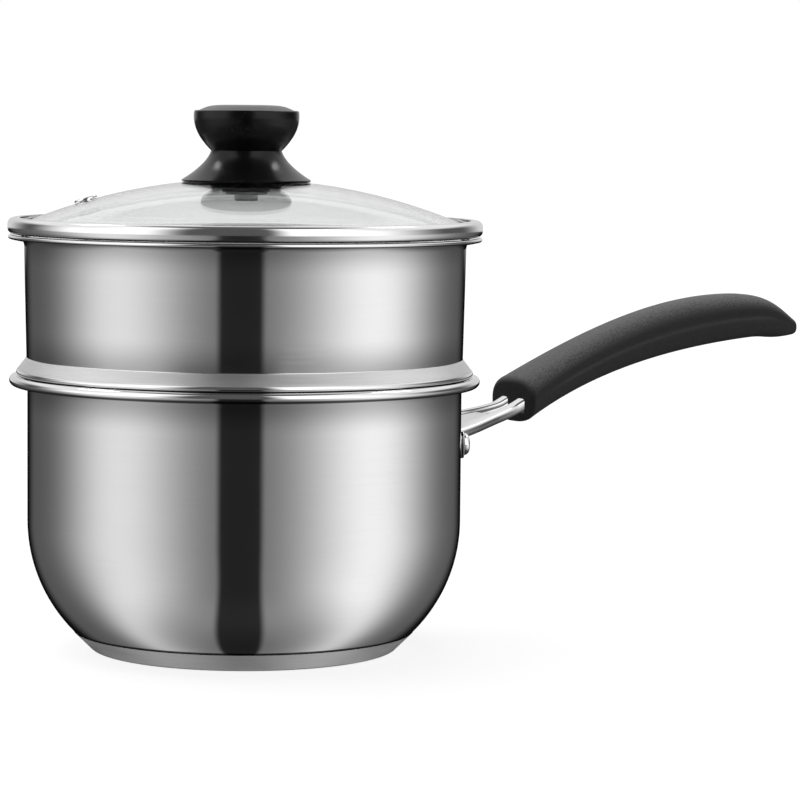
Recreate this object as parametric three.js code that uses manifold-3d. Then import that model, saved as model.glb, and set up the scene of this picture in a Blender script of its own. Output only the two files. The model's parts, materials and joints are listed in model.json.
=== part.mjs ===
// Milk pan with a lift-out steamer insert and a domed glass lid.
// Millimetres, +Z up. The origin is on the pan's axis, on the surface that the base stands on,
// and the handle points along +X.
import * as THREE from 'three';
import { mergeVertices } from 'three/addons/utils/BufferGeometryUtils.js';
import Module from 'manifold-3d';

const wasm = await Module();
wasm.setup();

const degree = Math.PI / 180;
const quarterTurn = 90 * degree;
const halfTurn = 180 * degree;

// Facets round the axis: large shells, knob pieces, pins and holes
const shellSides = 32;
const knobSides = 24;
const pinSides = 10;
const holeSides = 6;

// Facets along bends and curves
const bendSteps = 2;
const rollSteps = 3;
const cornerSteps = 5;
const curlSteps = 6;
const domeSteps = 5;
const knobSteps = 6;

// Clearances
const seatGap = 0.25;
const pressGap = 0.2;
const holeGap = 0.3;
const socketGap = 0.4;
const skirtGap = 0.7;

// Pan
const panRadius = 80.5;
const panSheet = 0.8;
const panHeight = 102.1;
const panFloorFillet = 12;
const panCornerRadius = 58;
const panCornerSplit = 46 * degree;
const panFlareRadius = 5;
const panFlareAngle = 65 * degree;
const panRimOverhang = 6.7;
const panCurlRadius = 1.5;
const panCurlAngle = 235 * degree;

// Base
const capSheet = 0.6;
const capFootStep = 1;
const capRimStep = 8;
const capFootRound = 1.2;
const coreThickness = 3;

// Handle bracket and rivets
const bracketDrop = 26.8;
const footSheet = 2;
const footHeight = 10.5;
const footStart = 10.5 * degree;
const footEnd = 24 * degree;
const footRound = 4;
const rivetAngle = 20 * degree;
const rivetRadius = 2.2;
const rivetHeadRadius = 4.2;
const rivetHeadHeight = 2.2;
const rivetTailHeight = 1.2;
const headRoundShare = 0.8;
const armRootAngle = 13.5 * degree;
const armRootLift = 2.5;
const armRootWidth = 8.4;
const armWidth = 6;
const armHeight = 4.2;
const armChamfer = 1.5;
const armGroove = 0.6;
const armSpacing = 12;
const armReach = 30;
const armBend = 5;
const webSheet = 1.6;
const webStart = 4;
const webLength = 19;

// Grip
const gripStandOff = 37.2;
const gripLift = 11.3;
const gripFrontHeight = 17.5;
const gripFrontWidth = 30.5;
const gripWaistWidth = 24;
const gripTailWidth = 27;
const gripArmOffset = 1.4;
const gripRise = 26.7 * degree;
const gripFootRise = 30.3 * degree;
const gripPeakRun = 105.4;
const gripPeakRise = 31.2;
const gripBellyRise = 30.7;
const gripBellyLag = 3.6;
const gripTailRun = 27.4;
const gripTailDrop = 10.2;
const gripBeakHeight = 7.2;
const gripNose = 3.2;
const gripNoseTurn = 80 * degree;
const gripFrontRound = 2;
const gripSquareness = 2.7;
const gripSectionSides = 16;
const gripStations = 8;
const gripTailStations = 5;
const gripNoseStations = 3;
const gripCurveShare = 0.355;
const gripTailShare = 0.46;
const gripBellySlope = 5.3 * degree;
const gripBeakSlope = 34 * degree;
const gripChinSlope = 8 * degree;
const gripTailTaper = 0.8;

// Screws in the grip's underside
const gripScrewRadius = 1.4;
const gripScrewHeadRadius = 2.6;
const gripScrewHeadHeight = 1.3;
const gripScrewLedge = 1.4;
const gripScrewReach = 18;
const gripScrewLength = 5;

// Steamer insert
const steamerSheet = 0.6;
const steamerWallStep = 0.35;
const steamerWallTop = 41;
const steamerTaper = 1.2 * degree;
const steamerSkirtDepth = 12.5;
const steamerFloorFillet = 3;
const shoulderReach = 4.1;
const shoulderSeatBend = 1.2;
const shoulderRoll = 1.2;
const shoulderCone = 128 * degree;
const shoulderBlend = 0.6;
const lipOverhang = 5.9;
const lipFlare = 3.5;
const lipRise = 12 * degree;
const lipHem = 0.55;
const lipHemReturn = 1.8;
const steamHoleRadius = 3.2;
const steamHolePitch = 20;
const steamHoleRings = 3;
const steamHolesPerRing = 6;

// Lid
const bandOverlap = 0.2;
const bandSheet = 0.5;
const bandFlange = 4.5;
const bandTopRound = 2.7;
const bandFootRound = 2.4;
const sealSheet = 0.45;
const sealFlange = 3.2;
const glassThickness = 3.2;
const glassRimFillet = 8;
const glassEdgeRound = 1.5;
const glassRimMargin = 1.75;
const domeRadius = 210;
const ventReach = 59;
const ventAngle = 152 * degree;
const ventTubeRadius = 2.6;
const ventBoreRadius = 1.5;
const ventFlangeRadius = 4.4;
const ventFlangeHeight = 0.9;

// Knob
const knobFlangeRadius = 24.1;
const knobFlangeHeight = 10.4;
const knobFlangeEdge = 0.7;
const knobFlangeShell = 3.2;
const knobCurveShare = 0.4;
const knobBowlPull = 0.2;
const knobBossRadius = 9.5;
const knobWaistRadius = 13.1;
const knobCupRadius = 19.5;
const knobCupHeight = 14.6;
const knobCupRound = 2.4;
const knobCapInset = 1.7;
const knobCapThickness = 1.3;
const knobCapCrown = 2;
const knobCapFlat = 0.75;
const knobInsertRadius = 4.2;
const knobInsertLength = 8.5;
const knobScrewRadius = 2;
const knobScrewGrip = 7;
const knobScrewHeadRadius = 4.4;
const knobScrewHeadHeight = 2.2;
const knobScrewHeadRound = 0.8;
const knobWasherRadius = 7.5;
const knobWasherThickness = 1;
const knobGasketRadius = 9;
const knobGasketThickness = 0.8;

// Finishes
const finishes = {
  mirrorSteel: { color: 0xc9c9c9, roughness: 0.08, metalness: 1 },
  satinSteel: { color: 0xb4b4b2, roughness: 0.35, metalness: 1 },
  aluminium: { color: 0xaeb0b2, roughness: 0.45, metalness: 1 },
  brass: { color: 0xb08d45, roughness: 0.35, metalness: 1 },
  softBlack: { color: 0x2b2b2c, roughness: 0.6, metalness: 0 },
  glossBlack: { color: 0x0b0b0c, roughness: 0.12, metalness: 0 },
  satinGrey: { color: 0x57585a, roughness: 0.5, metalness: 0 },
  silicone: { color: 0xd8d8d4, roughness: 0.7, metalness: 0 },
  glass: { color: 0xe9eeee, roughness: 0.03, metalness: 0, transparent: true, opacity: 0.3 }
};

// Geometry helpers

function signedVolume(geometry) {
  const corner = new THREE.Vector3();
  const second = new THREE.Vector3();
  const third = new THREE.Vector3();
  const { index, attributes: { position } } = geometry;
  let volume = 0;
  for (let i = 0; i < index.count; i += 3) {
    corner.fromBufferAttribute(position, index.getX(i));
    second.fromBufferAttribute(position, index.getX(i + 1));
    third.fromBufferAttribute(position, index.getX(i + 2));
    volume += corner.dot(second.cross(third)) / 6;
  }
  return volume;
}

// Keeps positions only, welds shared corners, drops triangles of no area and turns the faces out.
function welded(geometry) {
  const bare = geometry.clone();
  bare.deleteAttribute('normal');
  bare.deleteAttribute('uv');
  const merged = mergeVertices(bare, 1e-4);
  const kept = [];
  for (let i = 0; i < merged.index.count; i += 3) {
    const [a, b, c] = [0, 1, 2].map((step) => merged.index.getX(i + step));
    if (a !== b && b !== c && c !== a) kept.push(a, b, c);
  }
  merged.setIndex(kept);
  if (signedVolume(merged) < 0) merged.setIndex(kept.reverse());
  return merged;
}

function solidOf(geometry) {
  const { index, attributes: { position } } = welded(geometry);
  const vertProperties = new Float32Array(position.array);
  const triVerts = new Uint32Array(index.array);
  return new wasm.Manifold(new wasm.Mesh({ numProp: 3, vertProperties, triVerts }));
}

function geometryOf(solid) {
  const { vertProperties, triVerts } = solid.getMesh();
  const geometry = new THREE.BufferGeometry();
  geometry.setAttribute('position', new THREE.BufferAttribute(vertProperties, 3));
  geometry.setIndex(new THREE.BufferAttribute(triVerts, 1));
  return geometry;
}

function cut(geometry, cutters) {
  const solid = cutters.reduce((rest, cutter) => rest.subtract(solidOf(cutter)), solidOf(geometry));
  return geometryOf(solid);
}

function join(geometries) {
  const [first, ...others] = geometries.map(solidOf);
  return geometryOf(others.reduce((whole, other) => whole.add(other), first));
}

// Turns an outline of (radius, height) points about Z. An outline off the axis is closed on itself.
function revolve(outline, sides) {
  const onAxis = outline[0].x === 0;
  const closed = onAxis ? outline : [...outline, outline[0]];
  return welded(new THREE.LatheGeometry(closed, sides).rotateX(quarterTurn));
}

// Outline through [radius, height, setback] corners. A setback rounds its corner with a smooth curve.
function rounded(corners, steps = bendSteps) {
  const places = corners.map(([radius, height]) => new THREE.Vector2(radius, height));
  return corners.flatMap(([, , setback], i) => {
    if (!setback) return [places[i]];
    const before = places.at(i - 1);
    const after = places[(i + 1) % places.length];
    const start = places[i].clone().add(before.clone().sub(places[i]).setLength(setback));
    const end = places[i].clone().add(after.clone().sub(places[i]).setLength(setback));
    return new THREE.QuadraticBezierCurve(start, places[i], end).getPoints(steps);
  });
}

function ring(innerRadius, outerRadius, low, high) {
  return rounded([[innerRadius, low], [outerRadius, low], [outerRadius, high], [innerRadius, high]]);
}

function curve(start, startPull, endPull, end, steps) {
  const points = [start, startPull, endPull, end].map(([x, y]) => new THREE.Vector2(x, y));
  return new THREE.CubicBezierCurve(...points).getPoints(steps);
}

// Mid-line of a formed sheet in the (radius, height) half plane, drawn as runs and bends.
class MidLine {
  constructor(radius, height, heading) {
    this.place = new THREE.Vector2(radius, height);
    this.heading = heading;
    this.stations = [];
    this.mark();
  }

  mark() {
    const normal = new THREE.Vector2(-Math.sin(this.heading), Math.cos(this.heading));
    this.stations.push({ place: this.place.clone(), normal });
  }

  run(length) {
    const along = new THREE.Vector2(Math.cos(this.heading), Math.sin(this.heading));
    this.place.addScaledVector(along, length);
    this.mark();
    return this;
  }

  // A positive angle bends to the left of the way the line is heading.
  bend(angle, bendRadius, steps) {
    const toCentre = new THREE.Vector2(-Math.sin(this.heading), Math.cos(this.heading));
    const centre = this.place.clone().addScaledVector(toCentre, Math.sign(angle) * bendRadius);
    for (let i = 0; i < steps; i += 1) {
      this.place.rotateAround(centre, angle / steps);
      this.heading += angle / steps;
      this.mark();
    }
    return this;
  }

  top() {
    return Math.max(...this.stations.map(({ place }) => place.y));
  }

  outline(sheet) {
    const side = (offset) => this.stations.map(({ place, normal }) =>
      place.clone().addScaledVector(normal, offset));
    return [...side(sheet / 2), ...side(-sheet / 2).reverse()];
  }
}

// Skin through rings of points, with a fan across each end.
function loft(rings) {
  const sides = rings[0].length;
  const points = rings.flat();
  const triangles = [];
  for (let i = 0; i + 1 < rings.length; i += 1) {
    for (let j = 0; j < sides; j += 1) {
      const a = i * sides + j;
      const b = i * sides + (j + 1) % sides;
      triangles.push(a, b, a + sides, b, b + sides, a + sides);
    }
  }
  const centreOf = (points3) => points3
    .reduce((sum, point) => sum.add(point), new THREE.Vector3())
    .divideScalar(points3.length);
  const lastStart = (rings.length - 1) * sides;
  points.push(centreOf(rings[0]), centreOf(rings.at(-1)));
  for (let j = 0; j < sides; j += 1) {
    const next = (j + 1) % sides;
    triangles.push(points.length - 2, next, j);
    triangles.push(points.length - 1, lastStart + j, lastStart + next);
  }
  return welded(new THREE.BufferGeometry().setFromPoints(points).setIndex(triangles));
}

// Frame whose +Z runs along an axis from a place.
function frameAlong(place, axis) {
  const turn = new THREE.Quaternion().setFromUnitVectors(new THREE.Vector3(0, 0, 1), axis);
  return new THREE.Matrix4().compose(place, turn, new THREE.Vector3(1, 1, 1));
}

function piece(name, geometry, finish) {
  const mesh = new THREE.Mesh(geometry, new THREE.MeshStandardMaterial(finishes[finish]));
  mesh.name = name;
  return mesh;
}

function pin(radius, low, high, sides = pinSides) {
  const stock = new THREE.CylinderGeometry(radius, radius, high - low, sides);
  return stock.rotateX(quarterTurn).translate(0, 0, (low + high) / 2);
}

// Pan and base

const panFloor = capSheet + coreThickness + 2 * seatGap;
const panFlat = panRadius - panFloorFillet * Math.sin(panCornerSplit)
  - panCornerRadius * (1 - Math.sin(panCornerSplit));

// Rim: a flare, a straight sloping land and an open curl
const rimHeading = quarterTurn - panFlareAngle;
const rimFlareOut = panFlareRadius * (1 - Math.sin(rimHeading));
const rimCurlOut = panCurlRadius * (1 + Math.sin(rimHeading));
const rimLand = (panRimOverhang - rimFlareOut - rimCurlOut) / Math.cos(rimHeading);
const landReach = panRadius - panSheet / 2 + rimFlareOut;
const landFoot = panHeight - panSheet / 2 - rimLand * Math.sin(rimHeading)
  - panCurlRadius * (1 - Math.cos(rimHeading));

function panMidLine() {
  const half = panSheet / 2;
  const line = new MidLine(0, panFloor + half, 0);
  line.run(panFlat);
  line.bend(panCornerSplit, panFloorFillet - half, bendSteps);
  line.bend(quarterTurn - panCornerSplit, panCornerRadius - half, cornerSteps);
  line.run(landFoot - panFlareRadius * Math.cos(rimHeading) - line.place.y);
  line.bend(-panFlareAngle, panFlareRadius, rollSteps);
  line.run(rimLand);
  return line.bend(-panCurlAngle, panCurlRadius, curlSteps);
}

function panShell() {
  const shell = revolve(panMidLine().outline(panSheet), shellSides);
  return cut(shell, handleSides.map(rivetHole));
}

// Height of the pan's underside above the stove, in the fillet round its flat floor.
function panUnderside(radius) {
  const beyondFlat = Math.max(0, radius - panFlat);
  return panFloor + panFloorFillet - Math.sqrt(panFloorFillet ** 2 - beyondFlat ** 2);
}

function baseCap() {
  const foot = panFlat + capFootStep;
  const rim = panFlat + capRimStep;
  const innerRim = rim - capSheet;
  return revolve(rounded([
    [0, 0],
    [foot, 0, capFootRound],
    [rim, panUnderside(rim) - seatGap],
    [innerRim, panUnderside(innerRim) - seatGap],
    [foot - capSheet / 2, capSheet],
    [0, capSheet]
  ]), shellSides);
}

function baseCore() {
  const low = capSheet + seatGap;
  const radius = panFlat + capFootStep - capSheet - seatGap;
  return revolve(rounded([[0, low], [radius, low], [radius, low + coreThickness], [0, low + coreThickness]]),
    shellSides);
}

// Handle bracket, rivets and grip. The front side is -Y and the rear side is +Y.

const handleSides = [-1, 1];
const rivetHeight = panHeight - bracketDrop;
const footInner = panRadius + seatGap;
const footOuter = footInner + footSheet;
const gripFront = panRadius + gripStandOff;
const armFaceHeight = rivetHeight + gripLift;
const socketAxis = new THREE.Vector3(Math.cos(gripRise), 0, Math.sin(gripRise));
const socketNormal = new THREE.Vector3(-Math.sin(gripRise), 0, Math.cos(gripRise));

// Frame on the pan's axis at rivet height: X along the wall, Y up and Z out through the wall.
function wallFrame(angle) {
  const along = new THREE.Vector3(-Math.sin(angle), Math.cos(angle), 0);
  const out = new THREE.Vector3(Math.cos(angle), Math.sin(angle), 0);
  const frame = new THREE.Matrix4().makeBasis(along, new THREE.Vector3(0, 0, 1), out);
  return frame.setPosition(0, 0, rivetHeight);
}

function rivetHole(side) {
  const hole = pin(rivetRadius + holeGap, panRadius / 2, footOuter + footSheet);
  return hole.applyMatrix4(wallFrame(side * rivetAngle));
}

function rivet(side) {
  const facetAngle = Math.PI / shellSides;
  const innerFacet = (panRadius - panSheet) * Math.cos(facetAngle);
  const tailSeat = innerFacet - rivetHeadRadius * Math.tan(facetAngle) - seatGap;
  const headSeat = footOuter + seatGap;
  const outline = rounded([
    [0, tailSeat - rivetTailHeight],
    [rivetHeadRadius, tailSeat - rivetTailHeight, rivetTailHeight * headRoundShare],
    [rivetHeadRadius, tailSeat],
    [rivetRadius, tailSeat],
    [rivetRadius, headSeat],
    [rivetHeadRadius, headSeat],
    [rivetHeadRadius, headSeat + rivetHeadHeight, rivetHeadHeight * headRoundShare],
    [0, headSeat + rivetHeadHeight]
  ]);
  return revolve(outline, pinSides).applyMatrix4(wallFrame(side * rivetAngle));
}

// A foot is the stretch of a ring round the wall that a rounded tab takes out of it.
function bracketFoot(side) {
  const halfWidth = footOuter * Math.tan((footEnd - footStart) / 2);
  const halfHeight = footHeight / 2;
  const tab = new THREE.Shape(rounded([
    [-halfWidth, -halfHeight, footRound],
    [halfWidth, -halfHeight, footRound],
    [halfWidth, halfHeight, footRound],
    [-halfWidth, halfHeight, footRound]
  ]));
  const stock = new THREE.ExtrudeGeometry(tab, { depth: footOuter + footSheet, bevelEnabled: false });
  stock.applyMatrix4(wallFrame(side * (footStart + footEnd) / 2));
  const band = revolve(ring(footInner, footOuter, -footHeight, footHeight), shellSides);
  band.translate(0, 0, rivetHeight);
  return geometryOf(solidOf(stock).intersect(solidOf(band)));
}

function armStations(side) {
  const rootRadius = (footInner + footOuter) / 2;
  const rootAngle = side * armRootAngle;
  const out = new THREE.Vector3(Math.cos(rootAngle), Math.sin(rootAngle), 0);
  const root = out.clone().multiplyScalar(rootRadius).setZ(rivetHeight + armRootLift);
  const face = new THREE.Vector3(gripFront, side * armSpacing / 2, armFaceHeight);
  const elbow = face.clone().addScaledVector(socketAxis, -armBend);
  const end = face.clone().addScaledVector(socketAxis, armReach);
  const toElbow = elbow.clone().sub(root).normalize();
  return { out, root, face, elbow, end, toElbow };
}

// Chamfered bar section across a forward direction, with a groove along its inner side.
function armRing(side, place, forward, width, height, groove) {
  const inward = new THREE.Vector3(forward.y, -forward.x, 0).setLength(side);
  const up = new THREE.Vector3().crossVectors(inward, forward).multiplyScalar(side);
  const a = width / 2;
  const b = height / 2;
  const outline = [
    [a, armChamfer - b], [a, -armGroove], [a - groove, 0], [a, armGroove], [a, b - armChamfer],
    [a - armChamfer, b], [armChamfer - a, b], [-a, b - armChamfer], [-a, armChamfer - b],
    [armChamfer - a, -b], [a - armChamfer, -b]
  ];
  return outline.map(([across, rise]) =>
    place.clone().addScaledVector(inward, across).addScaledVector(up, rise));
}

function bracketArm(side) {
  const { out, root, elbow, end, toElbow } = armStations(side);
  const mitre = toElbow.clone().add(socketAxis).normalize();
  return loft([
    armRing(side, root, out, armRootWidth, armHeight, armGroove),
    armRing(side, elbow, mitre, armWidth, armHeight, armGroove),
    armRing(side, end, socketAxis, armWidth, armHeight, armGroove)
  ]);
}

function bracketWeb() {
  const [front, rear] = handleSides.map(armStations);
  const webRing = (reach) => {
    const share = (reach - front.root.x) / (front.elbow.x - front.root.x);
    const [near, far] = [front, rear].map(({ root, elbow }) => root.clone().lerp(elbow, share));
    const up = new THREE.Vector3(0, 0, webSheet / 2);
    return [near.clone().sub(up), far.clone().sub(up), far.clone().add(up), near.clone().add(up)];
  };
  return loft([webRing(footOuter + webStart), webRing(footOuter + webStart + webLength)]);
}

// Frame through an arm inside the grip, square to it, for the screw that holds it.
function gripScrewFrame(side) {
  const { face } = armStations(side);
  return frameAlong(face.addScaledVector(socketAxis, gripScrewReach), socketNormal);
}

function gripScrewHole(side) {
  const hole = pin(gripScrewRadius + holeGap, -gripFrontHeight, gripScrewLength + holeGap);
  return hole.applyMatrix4(gripScrewFrame(side));
}

const gripScrewSeat = -(armHeight / 2 + socketGap + gripScrewLedge);

function gripCounterbore(side) {
  const bore = pin(gripScrewHeadRadius + holeGap, -gripFrontHeight, gripScrewSeat);
  return bore.applyMatrix4(gripScrewFrame(side));
}

function gripScrew(side) {
  const headTop = gripScrewSeat - seatGap;
  const headBottom = headTop - gripScrewHeadHeight;
  const outline = rounded([
    [0, headBottom],
    [gripScrewHeadRadius, headBottom, gripScrewHeadHeight / 2],
    [gripScrewHeadRadius, headTop],
    [gripScrewRadius, headTop],
    [gripScrewRadius, gripScrewLength],
    [0, gripScrewLength]
  ]);
  return revolve(outline, pinSides).applyMatrix4(gripScrewFrame(side));
}

function handleBracket() {
  const parts = [...handleSides.map(bracketArm), ...handleSides.map(bracketFoot), bracketWeb()];
  return cut(join(parts), [...handleSides.map(rivetHole), ...handleSides.map(gripScrewHole)]);
}

// Upper and lower edges of the grip in the (reach, height) plane, from the front face to the beak.
function gripEdges() {
  const middle = armFaceHeight + gripArmOffset;
  const rise = ([x, y], pull, angle) => [x + pull * Math.cos(angle), y + pull * Math.sin(angle)];
  const frontTop = [gripFront, middle + gripFrontHeight / 2];
  const frontFoot = [gripFront, middle - gripFrontHeight / 2];
  const peak = [gripFront + gripPeakRun, frontTop[1] + gripPeakRise];
  const belly = [peak[0] + gripBellyLag, frontFoot[1] + gripBellyRise];
  const tip = [peak[0] + gripTailRun, peak[1] - gripTailDrop];
  const chin = [tip[0], tip[1] - gripBeakHeight];
  const longPull = gripPeakRun * gripCurveShare;
  const shortPull = gripTailRun * gripTailShare;
  const upper = [
    curve(frontTop, rise(frontTop, longPull, gripRise), rise(peak, -longPull, 0), peak, gripStations),
    curve(peak, rise(peak, shortPull, 0), rise(tip, -shortPull, -gripBeakSlope), tip, gripTailStations)
  ];
  const lower = [
    curve(frontFoot, rise(frontFoot, longPull, gripFootRise), rise(belly, -longPull, gripBellySlope), belly,
      gripStations),
    curve(belly, rise(belly, shortPull, gripBellySlope), rise(chin, -shortPull, gripChinSlope), chin,
      gripTailStations)
  ];
  return { upper, lower };
}

// Squared-off oval between an upper and a lower edge point.
function gripRing(upper, lower, halfWidth) {
  const top = new THREE.Vector3(upper.x, 0, upper.y);
  const foot = new THREE.Vector3(lower.x, 0, lower.y);
  const centre = top.clone().add(foot).divideScalar(2);
  const rise = top.sub(centre);
  const power = (value) => Math.sign(value) * Math.abs(value) ** (2 / gripSquareness);
  return Array.from({ length: gripSectionSides }, (_, i) => {
    const angle = 2 * Math.PI * i / gripSectionSides;
    const point = centre.clone().addScaledVector(rise, power(Math.sin(angle)));
    return point.setY(halfWidth * power(Math.cos(angle)));
  });
}

function gripBody() {
  const { upper, lower } = gripEdges();
  const waistPull = 2 * gripWaistWidth - (gripFrontWidth + gripTailWidth) / 2;
  const halfWidth = (share) => (gripFrontWidth * (1 - share) ** 2 + 2 * waistPull * share * (1 - share)
    + gripTailWidth * share ** 2) / 2;
  const along = (slope) => new THREE.Vector2(gripFrontRound, gripFrontRound * Math.tan(slope));
  const inset = new THREE.Vector2(0, gripFrontRound);
  const frontTop = upper[0][0];
  const frontFoot = lower[0][0];
  const rings = [
    gripRing(frontTop.clone().sub(inset), frontFoot.clone().add(inset), halfWidth(0) - gripFrontRound),
    gripRing(frontTop.clone().add(along(gripRise)), frontFoot.clone().add(along(gripFootRise)), halfWidth(0))
  ];
  for (let i = 1; i <= gripStations; i += 1) {
    rings.push(gripRing(upper[0][i], lower[0][i], halfWidth(i / gripStations)));
  }
  for (let i = 1; i <= gripTailStations; i += 1) {
    const narrowing = Math.sqrt(1 - (gripTailTaper * i / gripTailStations) ** 2);
    rings.push(gripRing(upper[1][i], lower[1][i], narrowing * gripTailWidth / 2));
  }
  const beak = rings.at(-1);
  const middle = beak.reduce((sum, point) => sum.add(point), new THREE.Vector3()).divideScalar(beak.length);
  const beakFall = Math.tan(gripBeakSlope);
  const chinClimb = Math.tan(gripChinSlope);
  const closing = (beakFall + chinClimb) * gripNose / gripBeakHeight;
  for (let i = 1; i <= gripNoseStations; i += 1) {
    const turn = gripNoseTurn * i / gripNoseStations;
    const out = gripNose * Math.sin(turn);
    const centre = new THREE.Vector3(out, 0, out * (chinClimb - beakFall) / 2).add(middle);
    const share = Math.cos(turn) * (1 - closing * Math.sin(turn));
    rings.push(beak.map((point) => point.clone().sub(middle).multiplyScalar(share).add(centre)));
  }
  return loft(rings);
}

function gripSocket(side) {
  const { face, end } = armStations(side);
  const width = armWidth + 2 * socketGap;
  const height = armHeight + 2 * socketGap;
  const mouth = face.clone().addScaledVector(socketAxis, -armBend);
  const bottom = end.clone().addScaledVector(socketAxis, socketGap);
  return loft([mouth, bottom].map((place) => armRing(side, place, socketAxis, width, height, 0)));
}

function handleGrip() {
  const makers = [gripSocket, gripScrewHole, gripCounterbore];
  return cut(gripBody(), makers.flatMap((maker) => handleSides.map(maker)));
}

// Steamer insert

// The roll of the shoulder rests on the sloping land of the pan's rim.
const rollOutside = shoulderRoll + steamerSheet / 2;
const rollCentre = panRadius + shoulderReach - rollOutside;
const rollClear = rollOutside + seatGap + panSheet / 2;
const steamerSeat = landFoot - rollOutside
  + (rollClear + (rollCentre - landReach) * Math.sin(rimHeading)) / Math.cos(rimHeading);

function steamerMidLine() {
  const half = steamerSheet / 2;
  const skirt = panRadius - panSheet - skirtGap - half;
  const shoulder = panRadius + shoulderReach - half;
  const wall = panRadius + steamerWallStep - half;
  const wallHeading = quarterTurn - steamerTaper;
  const rollEnd = shoulder - shoulderRoll * (1 - Math.sin(shoulderCone));
  const blendIn = shoulderBlend * (Math.sin(wallHeading) - Math.sin(shoulderCone));
  const coneRun = (rollEnd - blendIn - wall) / -Math.cos(shoulderCone);
  const seatHeight = steamerSeat + half;
  const line = new MidLine(0, steamerSeat - steamerSkirtDepth + half, 0);
  line.run(skirt - steamerFloorFillet);
  line.bend(quarterTurn, steamerFloorFillet, bendSteps);
  line.run(seatHeight - shoulderSeatBend - line.place.y);
  line.bend(-quarterTurn, shoulderSeatBend, bendSteps);
  line.run(rollCentre - line.place.x);
  line.bend(shoulderCone, shoulderRoll, rollSteps);
  line.run(coneRun);
  line.bend(wallHeading - shoulderCone, shoulderBlend, bendSteps);
  line.run(steamerWallTop / Math.cos(steamerTaper));
  const lipTurn = wallHeading - lipRise;
  const flareOut = lipFlare * (Math.sin(wallHeading) - Math.sin(lipRise));
  const hemOut = lipHem * (1 + Math.sin(lipRise));
  line.bend(-lipTurn, lipFlare, bendSteps);
  line.run((lipOverhang - flareOut - hemOut) / Math.cos(lipRise));
  line.bend(-halfTurn, lipHem, bendSteps);
  return line.run(lipHemReturn);
}

const steamerLine = steamerMidLine();
const lipTop = steamerLine.top() + steamerSheet / 2;
const lipRadius = Math.max(...steamerLine.stations.map(({ place }) => place.x)) + steamerSheet / 2;

function steamHoles() {
  const low = steamerSeat - steamerSkirtDepth - steamerSheet;
  const hole = pin(steamHoleRadius, low, low + 3 * steamerSheet, holeSides);
  const holes = [hole];
  for (let ringIndex = 1; ringIndex <= steamHoleRings; ringIndex += 1) {
    const count = ringIndex * steamHolesPerRing;
    for (let i = 0; i < count; i += 1) {
      const angle = 2 * Math.PI * i / count;
      const reach = ringIndex * steamHolePitch;
      holes.push(hole.clone().translate(reach * Math.cos(angle), reach * Math.sin(angle), 0));
    }
  }
  return holes;
}

function steamerShell() {
  return cut(revolve(steamerLine.outline(steamerSheet), shellSides), steamHoles());
}

// Lid

const bandRadius = lipRadius + bandOverlap;
const bandFoot = lipTop + seatGap;
const sealFoot = bandFoot + bandSheet + pressGap;
const sealRadius = bandRadius - bandSheet - pressGap;
const glassFoot = sealFoot + sealSheet + pressGap;
const glassRadius = sealRadius - sealSheet - pressGap;
const sealTop = glassFoot + glassThickness + pressGap + sealSheet;
const bandTop = sealTop + pressGap + bandSheet;

// C-section that opens towards the axis.
function channel(outerRadius, flange, sheet, low, high, lowRound, highRound) {
  const lip = outerRadius - flange;
  const inner = outerRadius - sheet;
  return revolve(rounded([
    [lip, low],
    [outerRadius, low, lowRound],
    [outerRadius, high, highRound],
    [lip, high],
    [lip, high - sheet],
    [inner, high - sheet, highRound - sheet],
    [inner, low + sheet, lowRound - sheet],
    [lip, low + sheet]
  ]), shellSides);
}

function lidBand() {
  return channel(bandRadius, bandFlange, bandSheet, bandFoot, bandTop, bandFootRound, bandTopRound);
}

function lidSeal() {
  const lowRound = bandFootRound - bandSheet;
  const highRound = bandTopRound - bandSheet;
  return channel(sealRadius, sealFlange, sealSheet, sealFoot, sealTop, lowRound, highRound);
}

const knobHole = knobScrewRadius + 2 * holeGap;
const domeMiddle = domeRadius - glassThickness / 2;

// The dome starts just inside the band, which sets how far round its sphere it reaches.
const domeFoot = bandRadius - bandFlange - glassRimMargin;
const domeAngle = Math.asin(domeFoot / (domeMiddle + glassRimFillet));

function glassMidLine() {
  const line = new MidLine(glassRadius, glassFoot + glassThickness / 2, halfTurn);
  line.run(glassRadius - domeFoot);
  line.bend(-domeAngle, glassRimFillet, bendSteps);
  return line.bend(domeAngle - Math.asin(knobHole / domeMiddle), domeMiddle, domeSteps);
}

const domeTop = glassFoot + glassThickness + (domeMiddle + glassRimFillet) * (1 - Math.cos(domeAngle));
const domeUnder = domeTop - glassThickness;

function domeHeight(radius) {
  return domeTop - domeRadius + Math.sqrt(domeRadius ** 2 - radius ** 2);
}

// Frame on the dome's outer face at the vent, with Z square to the glass.
function ventFrame() {
  const place = new THREE.Vector3(ventReach * Math.cos(ventAngle), ventReach * Math.sin(ventAngle), 0);
  place.setZ(domeHeight(ventReach));
  const centre = new THREE.Vector3(0, 0, domeTop - domeRadius);
  return frameAlong(place, place.clone().sub(centre).normalize());
}

function lidGlass() {
  const corners = glassMidLine().outline(glassThickness).map(({ x, y }) => [x, y]);
  corners.at(0).push(glassEdgeRound);
  corners.at(-1).push(glassEdgeRound);
  const dome = revolve(rounded(corners), shellSides);
  const ventHole = pin(ventTubeRadius + holeGap, -2 * glassThickness, glassThickness);
  return cut(dome, [ventHole.applyMatrix4(ventFrame())]);
}

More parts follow.
